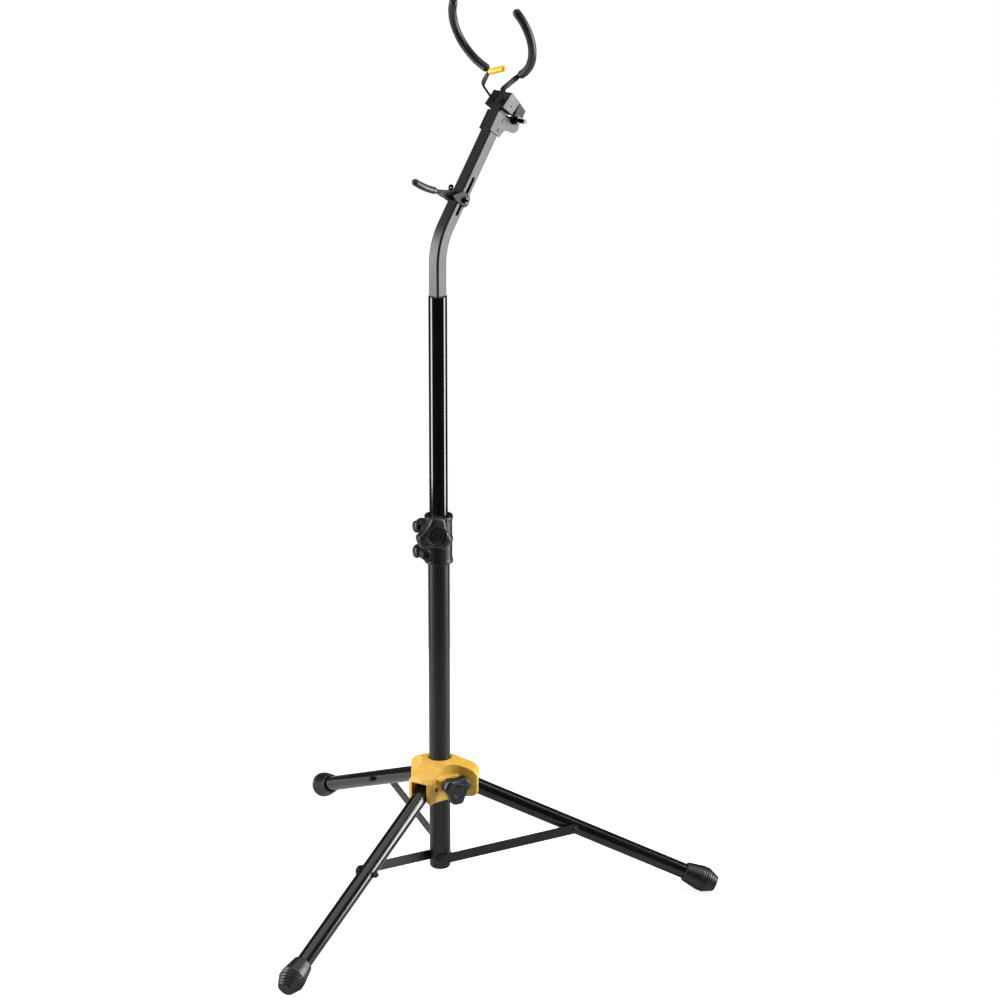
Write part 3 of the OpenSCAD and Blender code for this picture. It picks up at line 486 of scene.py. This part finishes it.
def scratch(bm):
    """A passing object in the bmesh's shape."""
    mesh = bpy.data.meshes.new("scratch")
    bm.to_mesh(mesh)
    bm.free()
    made = bpy.data.objects.new("scratch", mesh)
    bpy.context.scene.collection.objects.link(made)
    return made


def discard(made):
    mesh = made.data
    bpy.data.objects.remove(made)
    bpy.data.meshes.remove(mesh)


def through_modifiers(bm, *settings):
    """Runs a bmesh through modifiers, each given as (type, {setting: value}), and returns the result."""
    work = scratch(bm)
    for kind, values in settings:
        modifier = work.modifiers.new(kind.lower(), kind)
        for key, value in values.items():
            setattr(modifier, key, value)
    evaluated = work.evaluated_get(bpy.context.evaluated_depsgraph_get())
    made = bmesh.new()
    made.from_mesh(evaluated.to_mesh())
    evaluated.to_mesh_clear()
    discard(work)
    return made


def bevelled(bm, width, angle=35):
    """Every edge sharper than the angle, rounded over the width."""
    settings = {"width": width, "segments": 2, "limit_method": "ANGLE",
                "angle_limit": math.radians(angle), "miter_outer": "MITER_ARC"}
    return through_modifiers(bm, ("BEVEL", settings))


def softened(bm, voxel, keep):
    """Melts closed shapes that overlap into one, with every edge rounded as a mould's is."""
    bmesh.ops.triangulate(bm, faces=bm.faces)
    return through_modifiers(
        bm,
        ("REMESH", {"mode": "VOXEL", "voxel_size": voxel}),
        ("SMOOTH", {"factor": 0.5, "iterations": 4}),
        ("DECIMATE", {"ratio": keep}),
    )


def cut(bm, tool):
    """bm with tool's solids taken away."""
    bmesh.ops.recalc_face_normals(tool, faces=tool.faces)
    cutter = scratch(tool)
    bmesh.ops.recalc_face_normals(bm, faces=bm.faces)
    made = through_modifiers(bm, ("BOOLEAN", {"operation": "DIFFERENCE", "object": cutter, "solver": "EXACT"}))
    discard(cutter)
    return made


# ---- tubes ----


def tube(r, wall, z0, z1, steps, lip=0.5, longest=60):
    """A round tube with softened rims; its long runs are split, so that no face is longer than that."""
    profile = rounded([(r, z0), (r, z1), (r - wall, z1), (r - wall, z0)], lip)
    made = []
    for a, b in zip(profile, profile[1:] + profile[:1]):
        count = max(1, math.ceil(math.dist(a, b) / longest))
        made += [tuple(a[k] + (b[k] - a[k]) * i / count for k in (0, 1)) for i in range(count)]
    return lathe(bmesh.new(), made, steps, True)


piece("upper_tube_skin", tube(UPPER_R, UPPER_WALL, *UPPER_Z, 96), ["upper_tube"])
for leg in LEGS:
    leg_tube = tube(LEG_R, LEG_WALL, -LEG_OVER, LEG_LEN - LEG_SHORT, 80)
    piece("leg_tube_skin_" + leg, leg_tube, ["leg_tube_" + leg], matrix=at_leg(leg))


def mast_radius(angle, z):
    """The lower tube is round, with three flats pressed into its foot, which fade out above FLAT_Z."""
    flat = MAST_FLAT + (LOWER_R - MAST_FLAT) * 1.05 * ease((z - FLAT_Z) / FLAT_FADE)
    r = LOWER_R
    for leg in LEGS:
        away = (angle - leg_angle(leg) + 90 + 180) % 360 - 180
        if abs(away) < 60:
            r = soft_min(r, flat / math.cos(math.radians(away)), 0.28)
    return r


def lower_tube():
    bm = bmesh.new()
    steps = 192
    rim = 4
    levels = [(rim * math.cos(math.radians(a)) - rim, LOWER_Z[0] + rim - rim * math.sin(math.radians(a)))
              for a in range(90, -1, -10)]
    levels += [(0, z) for z in (60, 80, 100, 120, 138)]
    levels += [(0, z) for z in range(FLAT_Z, 165, 2)]
    levels += [(0, z) for z in range(200, 540, 40)]
    levels += [(0, 540.4), (-0.2, 540.85), (-0.6, 541), (-1.1, 541), (-1.4, 540.8), (-1.5, 540.4)]
    levels += [(-1.5, z) for z in (400, 300, 165, 155, 141, 100, 41, 36)]
    levels += [(-2.2, LOWER_Z[0])]
    loops = [
        [((mast_radius(a, z) + inset) * math.cos(math.radians(a)),
          (mast_radius(a, z) + inset) * math.sin(math.radians(a)), z)
         for a in (360 * i / steps for i in range(steps))]
        for inset, z in levels
    ]
    rings(bm, loops, closed=True)
    return piece("lower_tube_skin", bm, ["lower_tube"], sharp=50)


lower_tube()


def square_section(half, corner, steps=5):
    points = []
    for i, (sx, sy) in enumerate(((1, 1), (-1, 1), (-1, -1), (1, -1))):
        for k in range(steps + 1):
            a = math.radians(90 * i + 90 * k / steps)
            points.append((sx * (half - corner) + corner * math.cos(a),
                           sy * (half - corner) + corner * math.sin(a)))
    return points


def neck_path():
    lean = math.radians(NECK_LEAN)
    low = UPPER_Z[1] - NECK_IN
    path = [Vector((0, 0, low + (NECK_BEND_Z - low) * i / 3)) for i in range(3)]
    for i in range(25):
        a = lean * i / 24
        path.append(Vector((0, NECK_BEND_R * (1 - math.cos(a)), NECK_BEND_Z + NECK_BEND_R * math.sin(a))))
    up = at_neck()
    path += [up @ Vector((0, 0, NECK_LEN * i / 12)) for i in range(1, 13)]
    return path


def stadium(z0, z1, half, steps=10):
    """Outline with two round ends, from z0 to z1 along local y, in [x, y] points."""
    angles = [math.pi + math.pi * k / steps for k in range(steps + 1)]
    low = [(half * math.cos(a), z0 + half + half * math.sin(a)) for a in angles]
    return low + [(-x, z0 + z1 - z) for x, z in low]


def neck_tube():
    bm = bmesh.new()
    path = neck_path()
    outer = square_section(NECK_W / 2, NECK_CORNER)
    inner = square_section(NECK_W / 2 - NECK_WALL, NECK_CORNER - NECK_WALL)
    side = Vector((1, 0, 0))
    loops = [
        [[point + side * a + heading(path, i).cross(side) * b for a, b in section] for i, point in enumerate(path)]
        for section in (outer, inner)
    ]
    rings(bm, loops[0] + loops[1][::-1], closed=True)
    outline = [(n + SLOT_N, l) for n, l in stadium(*SLOT_L, SLOT_W / 2)]
    across = Matrix(((0, 0, 1, 0), (1, 0, 0, 0), (0, 1, 0, 0), (0, 0, 0, 1)))
    slot = prism(bmesh.new(), outline, -NECK_W, NECK_W, 0.1, at_neck() @ across)
    return piece("neck_skin", bevelled(cut(bm, slot), 0.3, 60), ["neck_tube"], sharp=40)


neck_tube()
for node in ("neck_plug", "neck_insert"):
    piece(node + "_skin", bevelled(cad_copy(node), 0.4), [node])


# ---- foam sleeves ----


def ring_arc(a):
    """Point on the right half of the yoke's ring, a degrees from its lowest point, in the ring's frame."""
    return Vector((RING_R * math.sin(math.radians(a)), 0, -RING_R * math.cos(math.radians(a))))


def hook_arc(a):
    """Point on the support hook's rod, in the neck's frame."""
    middle = move(0, *HOOK_START) @ turn("X", HOOK_AIM) @ move(0, 0, HOOK_BEND_R) @ turn("Z", -90) @ turn("X", 90)
    return middle @ turn("Z", a - 90) @ Vector((HOOK_BEND_R, 0, 0))


def foam_sleeve(name, replaced, path, r, matrix, seed):
    """A soft tube drawn over a rod: open at its first point, with a rounded and slightly puckered tip."""
    bore, steps, count = SLEEVE_BORE, 40, len(path)
    travelled = [0.0]
    for a, b in zip(path, path[1:]):
        travelled.append(travelled[-1] + (b - a).length)
    total = travelled[-1]
    loops = []
    tip = [(r * math.cos(math.radians(a)), r * math.sin(math.radians(a))) for a in range(8, 81, 9)]
    stations = [(bore, 6.0), (bore, 0.8), (bore + 0.35, 0.25), (bore + 0.9, 0.0)]
    stations += [(r - 1.3, 0.0), (r - 0.45, 0.3), (r - 0.08, 1.0)]
    stations += [(r, 2.2 + (total - r - 2.2) * i / (count - 1)) for i in range(count)]
    stations += [(radius, total - r + rise) for radius, rise in tip]
    stations += [(0.16 * r, total - 0.2), (0.1 * r, total - 0.55)]

    def place(along):
        along = min(max(along, 0), total)
        k = next(i for i in range(count - 1) if travelled[i + 1] >= along - 1e-9)
        share = (along - travelled[k]) / (travelled[k + 1] - travelled[k])
        ahead = (path[min(k + 2, count - 1)] - path[k]) * share + (path[k + 1] - path[max(k - 1, 0)]) * (1 - share)
        return path[k].lerp(path[k + 1], share), ahead.normalized()

    square = (path[1] - path[0]).cross(path[-1] - path[0]).normalized()
    for radius, along in stations:
        point, ahead = place(along)
        side = (square - ahead * square.dot(ahead)).normalized()
        other = ahead.cross(side)
        loop = []
        for i in range(steps):
            a = 2 * math.pi * i / steps
            grown = radius
            if radius > bore + 1:
                lump = noise.noise(Vector((math.cos(a) * 0.9, math.sin(a) * 0.9, along * 0.06 + seed)))
                fine = noise.noise(Vector((math.cos(a) * 3, math.sin(a) * 3, along * 0.35 + seed)))
                grown += 0.24 * lump + 0.07 * fine - 0.12
            loop.append(point + (side * math.cos(a) + other * math.sin(a)) * grown)
        loops.append(loop)
    sleeve = piece(name, capped(bmesh.new(), loops), [replaced], 60, matrix)
    return sleeve


foam_from, foam_to = ARC[0] + 1, ARC[1] + math.degrees(FOAM_R / RING_R)
arm_path = [ring_arc(foam_from + (foam_to - foam_from) * i / 60) for i in range(61)]
foam_sleeve("foam_sleeve_right", "arm_foam_right", arm_path, FOAM_R, at_ring(), 3.0)
foam_sleeve("foam_sleeve_left", "arm_foam_left", [MIRROR_X @ p for p in arm_path], FOAM_R, at_ring(), 11.0)
hook_path = [hook_arc(0.5 + (HOOK_ARC - 0.5) * i / 30) for i in range(31)]
foam_sleeve("foam_sleeve_hook", "hook_foam", hook_path, HOOK_FOAM_R, at_neck(), 23.0)


# ---- rubber feet ----

FOOT_LEN, FOOT_END_R, FOOT_MAX_R, FOOT_MOUTH_R, FOOT_MAX_AT = 48.4, 11.25, 18.2, 13.8, 23
RIBS, RIB_PITCH, GROOVE_W, GROOVE_D = 6, 3.75, 1.15, 1.0


def foot_r(d):
    if d > FOOT_MAX_AT:
        share = (d - FOOT_MAX_AT) / (FOOT_LEN - FOOT_MAX_AT)
        return FOOT_MAX_R - (FOOT_MAX_R - FOOT_MOUTH_R) * share
    return min(FOOT_END_R + d * math.tan(math.radians(LEG_SLOPE)), FOOT_MAX_R)


def foot_profile():
    """From the middle of the end face, out over the ribs, up to the mouth and down the socket."""
    made = [(0, 0.8), (1.9, 0.8), (2.3, 0.6), (2.6, 0.1), (3.2, 0), (9.6, 0), (10.6, 0.15)]
    for rib in range(RIBS):
        d = rib * RIB_PITCH
        land = RIB_PITCH - GROOVE_W
        for share, drop in ((0.08, 0.34), (0.25, 0.06), (0.5, 0), (0.75, 0.06), (0.94, 0.34)):
            made.append((foot_r(d + land * share) - drop, d + land * share + (0.35 if rib == 0 else 0)))
        for share in (0.2, 0.5, 0.8):
            at = d + land + GROOVE_W * share
            made.append((foot_r(at) - GROOVE_D * (1 if share == 0.5 else 0.82), at))
    made += [(foot_r(d) - (0.25 if d == 22.9 else 0), d) for d in (22.9, 23.6, 26, 29, 32, 35, 38, 41, 44, 46)]
    made += [(FOOT_MOUTH_R + 0.05, 47.4), (FOOT_MOUTH_R - 0.4, 48.1), (FOOT_MOUTH_R - 1.0, FOOT_LEN)]
    made += [(LEG_R + 1.0, FOOT_LEN), (LEG_R + 0.3, 48.0), (LEG_R + 0.06, 47.2), (LEG_R + 0.06, 8), (0, 8)]
    return made


for leg in LEGS:
    foot = lathe(bmesh.new(), foot_profile(), 96)
    foot.transform(at_leg(leg) @ move(0, 0, LEG_LEN) @ Matrix.Diagonal((1, 1, -1, 1)))
    for v in foot.verts:
        v.co.z = max(v.co.z, 0.0)
    piece("rubber_foot_skin_" + leg, foot, ["rubber_foot_" + leg], 45)


# ---- hand knobs ----


def knob_radius(a, r, grow):
    """A disc with three hollows, which leave three blunt lobes; grow is a small offset outward."""
    waist, lobe = r * 0.70, math.radians(60 - 24)
    centre = (r * r - waist * waist) / (2 * (r * math.cos(lobe) - waist))
    side = centre - waist
    found = r + grow
    for hollow in (60, 180, 300):
        away = math.radians((a - hollow + 180) % 360 - 180)
        reach = (side - grow) ** 2 - (centre * math.sin(away)) ** 2
        if reach > 0 and math.cos(away) > 0:
            found = soft_min(found, centre * math.cos(away) - math.sqrt(reach), r * 0.16)
    return found


def knob(node, r, hub_r, hub_h, badge_r, angle, matrix):
    """A hub and a lobed plate with rounded rims, and a seat for its cover disc."""
    steps = 180
    top = hub_h + KNOB_T
    levels = [(hub_r - 3, 0, 0), (hub_r - 0.8, 0, 0), (hub_r - 0.2, 0, 0.25), (hub_r, 0, 0.9),
              (hub_r, 0, hub_h - 0.6), (hub_r + 0.6, 0, hub_h)]
    levels += [(None, -3.0, hub_h), (None, -1.2, hub_h + 0.25), (None, -0.35, hub_h + 1.0), (None, 0.0, hub_h + 2.2)]
    levels += [(None, 0.0, top - 5.2), (None, -0.35, top - 3.4), (None, -1.1, top - 2.0), (None, -2.3, top - 0.9),
               (None, -3.8, top - 0.3), (None, -5.4, top)]
    levels += [(badge_r + 0.5, 0, top), (badge_r + 0.1, 0, top - 0.15), (badge_r + 0.02, 0, top - 0.4),
               (badge_r + 0.02, 0, top - 0.8)]
    loops = []
    for radius, grow, z in levels:
        loop = []
        for i in range(steps):
            a = 360 * i / steps
            found = radius if radius is not None else knob_radius(a - angle, r, grow)
            if radius is None and grow < -3 and found < badge_r + 0.9:
                found = badge_r + 0.9
            loop.append((found * math.cos(math.radians(a)), found * math.sin(math.radians(a)), z))
        loops.append(loop)
    piece(node + "_skin", capped(bmesh.new(), loops), [node], 35, matrix)
    badge(node, badge_r, matrix @ move(0, 0, top - BADGE_H))


def badge(node, r, matrix):
    """A plain cover disc: a raised rim, a groove, a raised ring and a low dome in its middle."""
    profile = [(0, 0), (r - 0.1, 0), (r, 0.1), (r, 0.5), (r - 0.2, 0.65), (r - 1.3, 0.65), (r - 1.6, 0.5),
               (r - 1.8, 0.2), (r - 2.6, 0.2), (r - 2.9, 0.4), (r * 0.62, 0.45), (r * 0.58, 0.65), (r * 0.44, 0.65),
               (r * 0.40, 0.4), (r * 0.22, 0.4), (r * 0.19, 0.6), (r * 0.12, 0.72), (0, BADGE_H)]
    piece(node + "_disc", lathe(bmesh.new(), profile, 72), [node + "_badge"], 35, matrix)


knob("clutch_knob", 26, 10, 6, 14.2, 170, at_clutch_screw(*CLUTCH_KNOB) @ move(0, 0, CLUTCH_KNOB_OUT))
knob("collar_knob", 22, 9, 15, 10.5, 0, at_collar_knob() @ move(0, 0, COLLAR_KNOB_OUT))


# ---- collar and clutch: moulded parts ----


def collar():
    """The collar, with a sink round each hinge pin's end, a ledge over each hollow and every edge rounded."""
    sinks = bmesh.new()
    for leg in LEGS:
        for side in (-1, 1):
            pin_end = turn("Z", leg_angle(leg)) @ move(HINGE_R, side * SINK_SIDE, HINGE_Z) @ turn("X", -90 * side)
            lathe(sinks, [(0, -SINK_DEPTH), (SINK_R, -SINK_DEPTH), (SINK_R, 4), (0, 4)], 32, matrix=pin_end)
    bm = cut(cad_copy("collar"), sinks)
    for leg in LEGS:
        between = turn("Z", leg_angle(leg) + 60)
        angles = [math.radians(a) for a in range(-27, 19, 3)]
        path = [between @ Vector((HOLLOW_AT - HOLLOW_R * math.cos(a), HOLLOW_R * math.sin(a), 0)) for a in angles]
        ledge = rounded([(-2.6, 179.4), (4.6, 179.4), (4.6, 183.8), (-2.6, 185.2)], 1.2)
        loops = []
        for i, p in enumerate(path):
            ahead = heading(path, i)
            out = Vector((ahead.y, -ahead.x, 0))
            if out.dot(p) < 0:
                out = -out
            loops.append([p + out * a + Vector((0, 0, z)) for a, z in ledge])
        capped(bm, loops)
    return piece("collar_skin", softened(bm, 0.6, 0.35), ["collar"], 60)


collar()
piece("clutch_skin", softened(cad_copy("clutch_body"), 0.55, 0.35), ["clutch_body"], 60)

PEG = [(0, 0), (7.6, 0), (8.0, 0.4), (8.0, 3.4), (7.6, 3.9), (6.7, 4.05), (6.3, 4.4), (6.3, 5.0), (6.7, 5.35),
       (7.9, 5.5), (8.4, 5.9), (8.5, 6.5), (8.45, 8.2), (8.0, 9.2), (7.2, 10.2), (6.0, 10.8), (4.6, 10.95),
       (4.2, 10.6), (1.4, 10.5), (0, 10.5)]
pegs = bmesh.new()
for peg_z in PEG_Z:
    lathe(pegs, PEG, 56, matrix=turn("Z", CLUTCH_AXIS) @ move(PEG_X, PEG_Y, peg_z) @ turn("X", 90))
piece("clutch_peg_skins", pegs, ["clutch_pegs"], 40)


# ---- struts and their screws ----


SCREW_HEAD = [(0, -1.6), (2.5, -1.6), (2.5, 0), (4.1, 0), (4.4, 0.15), (4.5, 0.5), (4.4, 1.1), (4.0, 1.7),
              (3.3, 2.15), (2.4, 2.36), (1.2, 2.4), (0, 2.4)]


def screw_head(bm, matrix):
    """Adds a pan head with a cross recess, on local z, with its shank below."""
    arm_end = [(0.5, 0.5), (2.7, 0.5), (2.7, -0.5)]
    outline = [(turn("Z", -a) @ Vector((*p, 0))).to_2d() for a in (0, 90, 180, 270) for p in arm_end]
    cross = capped(bmesh.new(), [[(p.x * k, p.y * k, z) for p in outline] for k, z in ((0.35, 0.9), (1, 3.2))])
    made = cut(lathe(bmesh.new(), SCREW_HEAD, 40), cross)
    made.transform(matrix)
    passing = scratch(made)
    bm.from_mesh(passing.data)
    discard(passing)


base_screws = bmesh.new()
strut_end = STRUT_W / 2
strut_face = -STRUT_IN - STRUT_T
for leg in LEGS:
    inner_face = at_strut(leg) @ move(0, -STRUT_IN, 0) @ turn("X", 90)
    outline = stadium(-strut_end, STRUT_LEN + strut_end, strut_end, 14)
    piece("strut_skin_" + leg, prism(bmesh.new(), outline, 0, STRUT_T, 0.45, inner_face), ["strut_" + leg], 40)
    head = bmesh.new()
    screw_head(head, at_strut(leg) @ move(0, strut_face - 0.02, STRUT_LEN) @ turn("X", 90))
    piece("strut_screw_skin_" + leg, head, ["strut_screw_" + leg], 35)
    screw_head(base_screws, turn("Z", leg_angle(leg)) @ move(0, strut_face - 0.35, STRUT_BASE_Z) @ turn("X", 90))
piece("strut_base_screw_skins", base_screws, ["strut_base_screws"], 35)


# ---- head, yoke and hook ----


def arm(name, node, side):
    """Flat strip from its pin to the elbow, folded back to the ring, where it turns into a round rod."""
    strip = at_arm()
    pin, elbow = strip @ Vector((0, 0, 0)), Vector((ELBOW[0], ARM_M, ELBOW[1]))
    up = (elbow - pin).normalized()
    start = ring_arc(ARC[0])
    back = (start - elbow).normalized()
    across = (strip.to_3x3() @ Vector((0, 1, 0))).normalized()
    tangent = (ring_arc(ARC[0] + 1) - start).normalized()
    corner = [elbow - up * 2.6, elbow, elbow + back * 2.6]
    path = [pin - up * 3.2]
    path += [pin + (corner[0] - pin) * i / 4 for i in range(5)]
    path += [corner[0].lerp(corner[1], t).lerp(corner[1].lerp(corner[2], t), t) for t in (0.2, 0.4, 0.6, 0.8, 1)]
    reach = (start - corner[2]).length
    first, second = corner[2] + back * reach * 0.6, start - tangent * reach * 0.22
    for i in range(1, 13):
        t = i / 12
        a, b, c = corner[2].lerp(first, t), first.lerp(second, t), second.lerp(start, t)
        path.append(a.lerp(b, t).lerp(b.lerp(c, t), t))
    bend = len(path)
    path += [ring_arc(ARC[0] + (ARC[1] - 1 - ARC[0]) * i / 40) for i in range(1, 41)]

    def section(i):
        share = ease((i - (bend - 8)) / 9)
        points = []
        for k in range(32):
            a = 2 * math.pi * (k + 0.5) / 32
            c, s = math.cos(a), math.sin(a)
            box = 1 / max(abs(c) ** 6 + abs(s) ** 6, 1e-9) ** (1 / 6)
            thick = (ARM_T / 2) * (1 - share) + ARM_ROD_R * share
            wide = (ARM_W / 2) * (1 - share) + ARM_ROD_R * share
            rim = box * (1 - share) + share
            if i < 2:
                wide = wide * (0.72 if i < 1 else 0.97)
            points.append((thick * c * rim, wide * s * rim))
        return points

    def normal(i):
        return across.lerp(Vector((0, 1, 0)), ease((i - 6) / (bend - 8))).normalized()

    bm = sweep(bmesh.new(), path, section, normal)
    if side < 0:
        bm.transform(MIRROR_X)
    return piece(name, bm, [node], 40, at_ring())


arm("arm_right_skin", "arm_right", 1)
arm("arm_left_skin", "arm_left", -1)


def trigger():
    """A rod with a sleeve drawn over it: finely ribbed, with a round tip."""
    run = TRIGGER[1] - TRIGGER[0]
    length = run.length
    rod_end = length * TRIGGER_ROD_SHARE
    toward = run.to_track_quat("Z", "Y").to_matrix().to_4x4()
    matrix = at_ring() @ Matrix.Translation(TRIGGER[0]) @ toward
    r, bore = TRIGGER_R, TRIGGER_ROD_R + 0.06
    profile = [(0, rod_end), (bore, rod_end), (bore, 4.6), (2.4, 4.1), (3.2, 4.0), (3.8, 4.15), (4.1, 4.7)]
    profile += [(r - 0.1 * (i % 2), 5.4 + 1.5 * i) for i in range(int((length - 6.5) / 1.5))]
    profile += [(r * math.cos(math.radians(a)), length + r * (math.sin(math.radians(a)) - 0.02))
                for a in range(0, 82, 9)]
    profile += [(0.5, length + r - 0.1), (0, length + r - 0.35)]
    piece("trigger_sleeve_skin", lathe(bmesh.new(), profile, 40), ["trigger_sleeve"], 50, matrix)
    rod = [(0, -0.5), (TRIGGER_ROD_R - 0.3, -0.5), (TRIGGER_ROD_R, 0), (TRIGGER_ROD_R, rod_end - 0.4),
           (TRIGGER_ROD_R - 0.4, rod_end), (0, rod_end)]
    piece("trigger_rod_skin", lathe(bmesh.new(), rod, 32), ["trigger_rod"], 35, matrix)


trigger()

hook_line = [hook_arc(-2 + (HOOK_ARC + 1) * i / 24) for i in range(25)]
rod_section = [(x, y) for x, y, _ in circle(ARM_ROD_R, 0, 28)]
hook_rod = sweep(bmesh.new(), hook_line, lambda i: rod_section, lambda i: Vector((1, 0, 0)))
piece("hook_rod_skin", hook_rod, ["hook_rod"], 40, at_neck())
piece("hook_wing_screw_skin", softened(cad_copy("hook_wing_screw"), 0.3, 0.4), ["hook_wing_screw"], 60)

# How far each of these nodes has its edges rounded.
EDGES = {
    "yoke_block": 0.7, "yoke_bracket": 0.35, "head_cap": 0.35, "hook_bracket": 0.45, "tilt_bolt": 0.35,
    "tilt_nut": 0.3, "hook_nut": 0.3, "clutch_clamp_screw": 0.3, "clutch_nuts": 0.3, "yoke_rivets": 0.3,
    "cap_rivets": 0.2, "strut_base_nuts": 0.25, "base_plug": 0.4, "clutch_bush": 0.4,
}
for leg in LEGS:
    EDGES["leg_bolt_" + leg] = 0.3
    EDGES["leg_end_" + leg] = 0.5
for node, width in EDGES.items():
    piece(node + "_skin", bevelled(cad_copy(node), width), [node])


# ---- floor, light and camera ----


def by_ray(tree, seen, otherwise, socket):
    """The camera sees one strength, so that the ground stays pale; the object is lit by the other."""
    path = tree.nodes.new("ShaderNodeLightPath")
    mix = tree.nodes.new("ShaderNodeMix")
    mix.inputs["A"].default_value = otherwise
    mix.inputs["B"].default_value = seen
    tree.links.new(path.outputs["Is Camera Ray"], mix.inputs["Factor"])
    tree.links.new(mix.outputs["Result"], socket)


def floor():
    bpy.ops.mesh.primitive_circle_add(vertices=96, radius=FLOOR_R, fill_type="NGON", location=(0, 0, -FLOOR_DROP))
    made = bpy.context.object
    made.name = "floor"
    material = bpy.data.materials.new("floor")
    material.use_nodes = True
    surface = material.node_tree.nodes["Principled BSDF"]
    surface.inputs["Base Color"].default_value = (0.5, 0.5, 0.5, 1)
    surface.inputs["Roughness"].default_value = 0.9
    surface.inputs["Specular IOR Level"].default_value = 0.1
    surface.inputs["Emission Color"].default_value = (1, 1, 1, 1)
    by_ray(material.node_tree, FLOOR_SEEN, 0.0, surface.inputs["Emission Strength"])
    made.data.materials.append(material)


def softbox(name, position, width, height, power):
    data = bpy.data.lights.new(name, "AREA")
    data.shape = "RECTANGLE"
    data.size, data.size_y = width, height
    data.energy = power
    made = bpy.data.objects.new(name, data)
    made.location = position
    made.rotation_mode = "QUATERNION"
    made.rotation_quaternion = (SOFTBOX_AIM - position).to_track_quat("-Z", "Y")
    made.visible_camera = False
    bpy.context.scene.collection.objects.link(made)


def camera():
    """Makes the camera and gives the direction to its right and the one that it looks in."""
    forward = CAMERA_AIM.normalized()
    right = forward.cross(Vector((0, 0, 1))).normalized()
    level = right.cross(forward)
    right, up = (right * math.cos(CAMERA_ROLL) + level * math.sin(CAMERA_ROLL),
                 level * math.cos(CAMERA_ROLL) - right * math.sin(CAMERA_ROLL))
    data = bpy.data.cameras.new("camera")
    data.lens, data.sensor_width = CAMERA_LENS, CAMERA_SENSOR
    made = bpy.data.objects.new("camera", data)
    made.matrix_world = Matrix((right, up, -forward)).transposed().to_4x4()
    made.location = CAMERA_AT
    bpy.context.scene.collection.objects.link(made)
    bpy.context.scene.camera = made
    return right.normalized(), forward


def overhead(strength, degrees):
    data = bpy.data.lights.new("overhead", "SUN")
    data.energy = strength
    data.angle = math.radians(degrees)
    made = bpy.data.objects.new("overhead", data)
    made.location = (0, 0, 3)
    bpy.context.scene.collection.objects.link(made)


def world():
    made = bpy.data.worlds.new("studio")
    made.use_nodes = True
    by_ray(made.node_tree, 1.0, 0.05, made.node_tree.nodes["Background"].inputs["Strength"])
    made.node_tree.nodes["Background"].inputs["Color"].default_value = (1, 1, 1, 1)
    bpy.context.scene.world = made


floor()
right, forward = camera()
away = Vector((forward.x, forward.y, 0)).normalized()
softbox("softbox_left", SOFTBOX_AIM - right * SOFTBOX_OUT - away * 0.1, 0.62, 1.55, 42)
softbox("softbox_right", SOFTBOX_AIM + right * SOFTBOX_OUT + away * 0.05, 0.55, 1.65, 48)
overhead(1.7, 70)
world()
bpy.context.scene.view_settings.view_transform = "Standard"
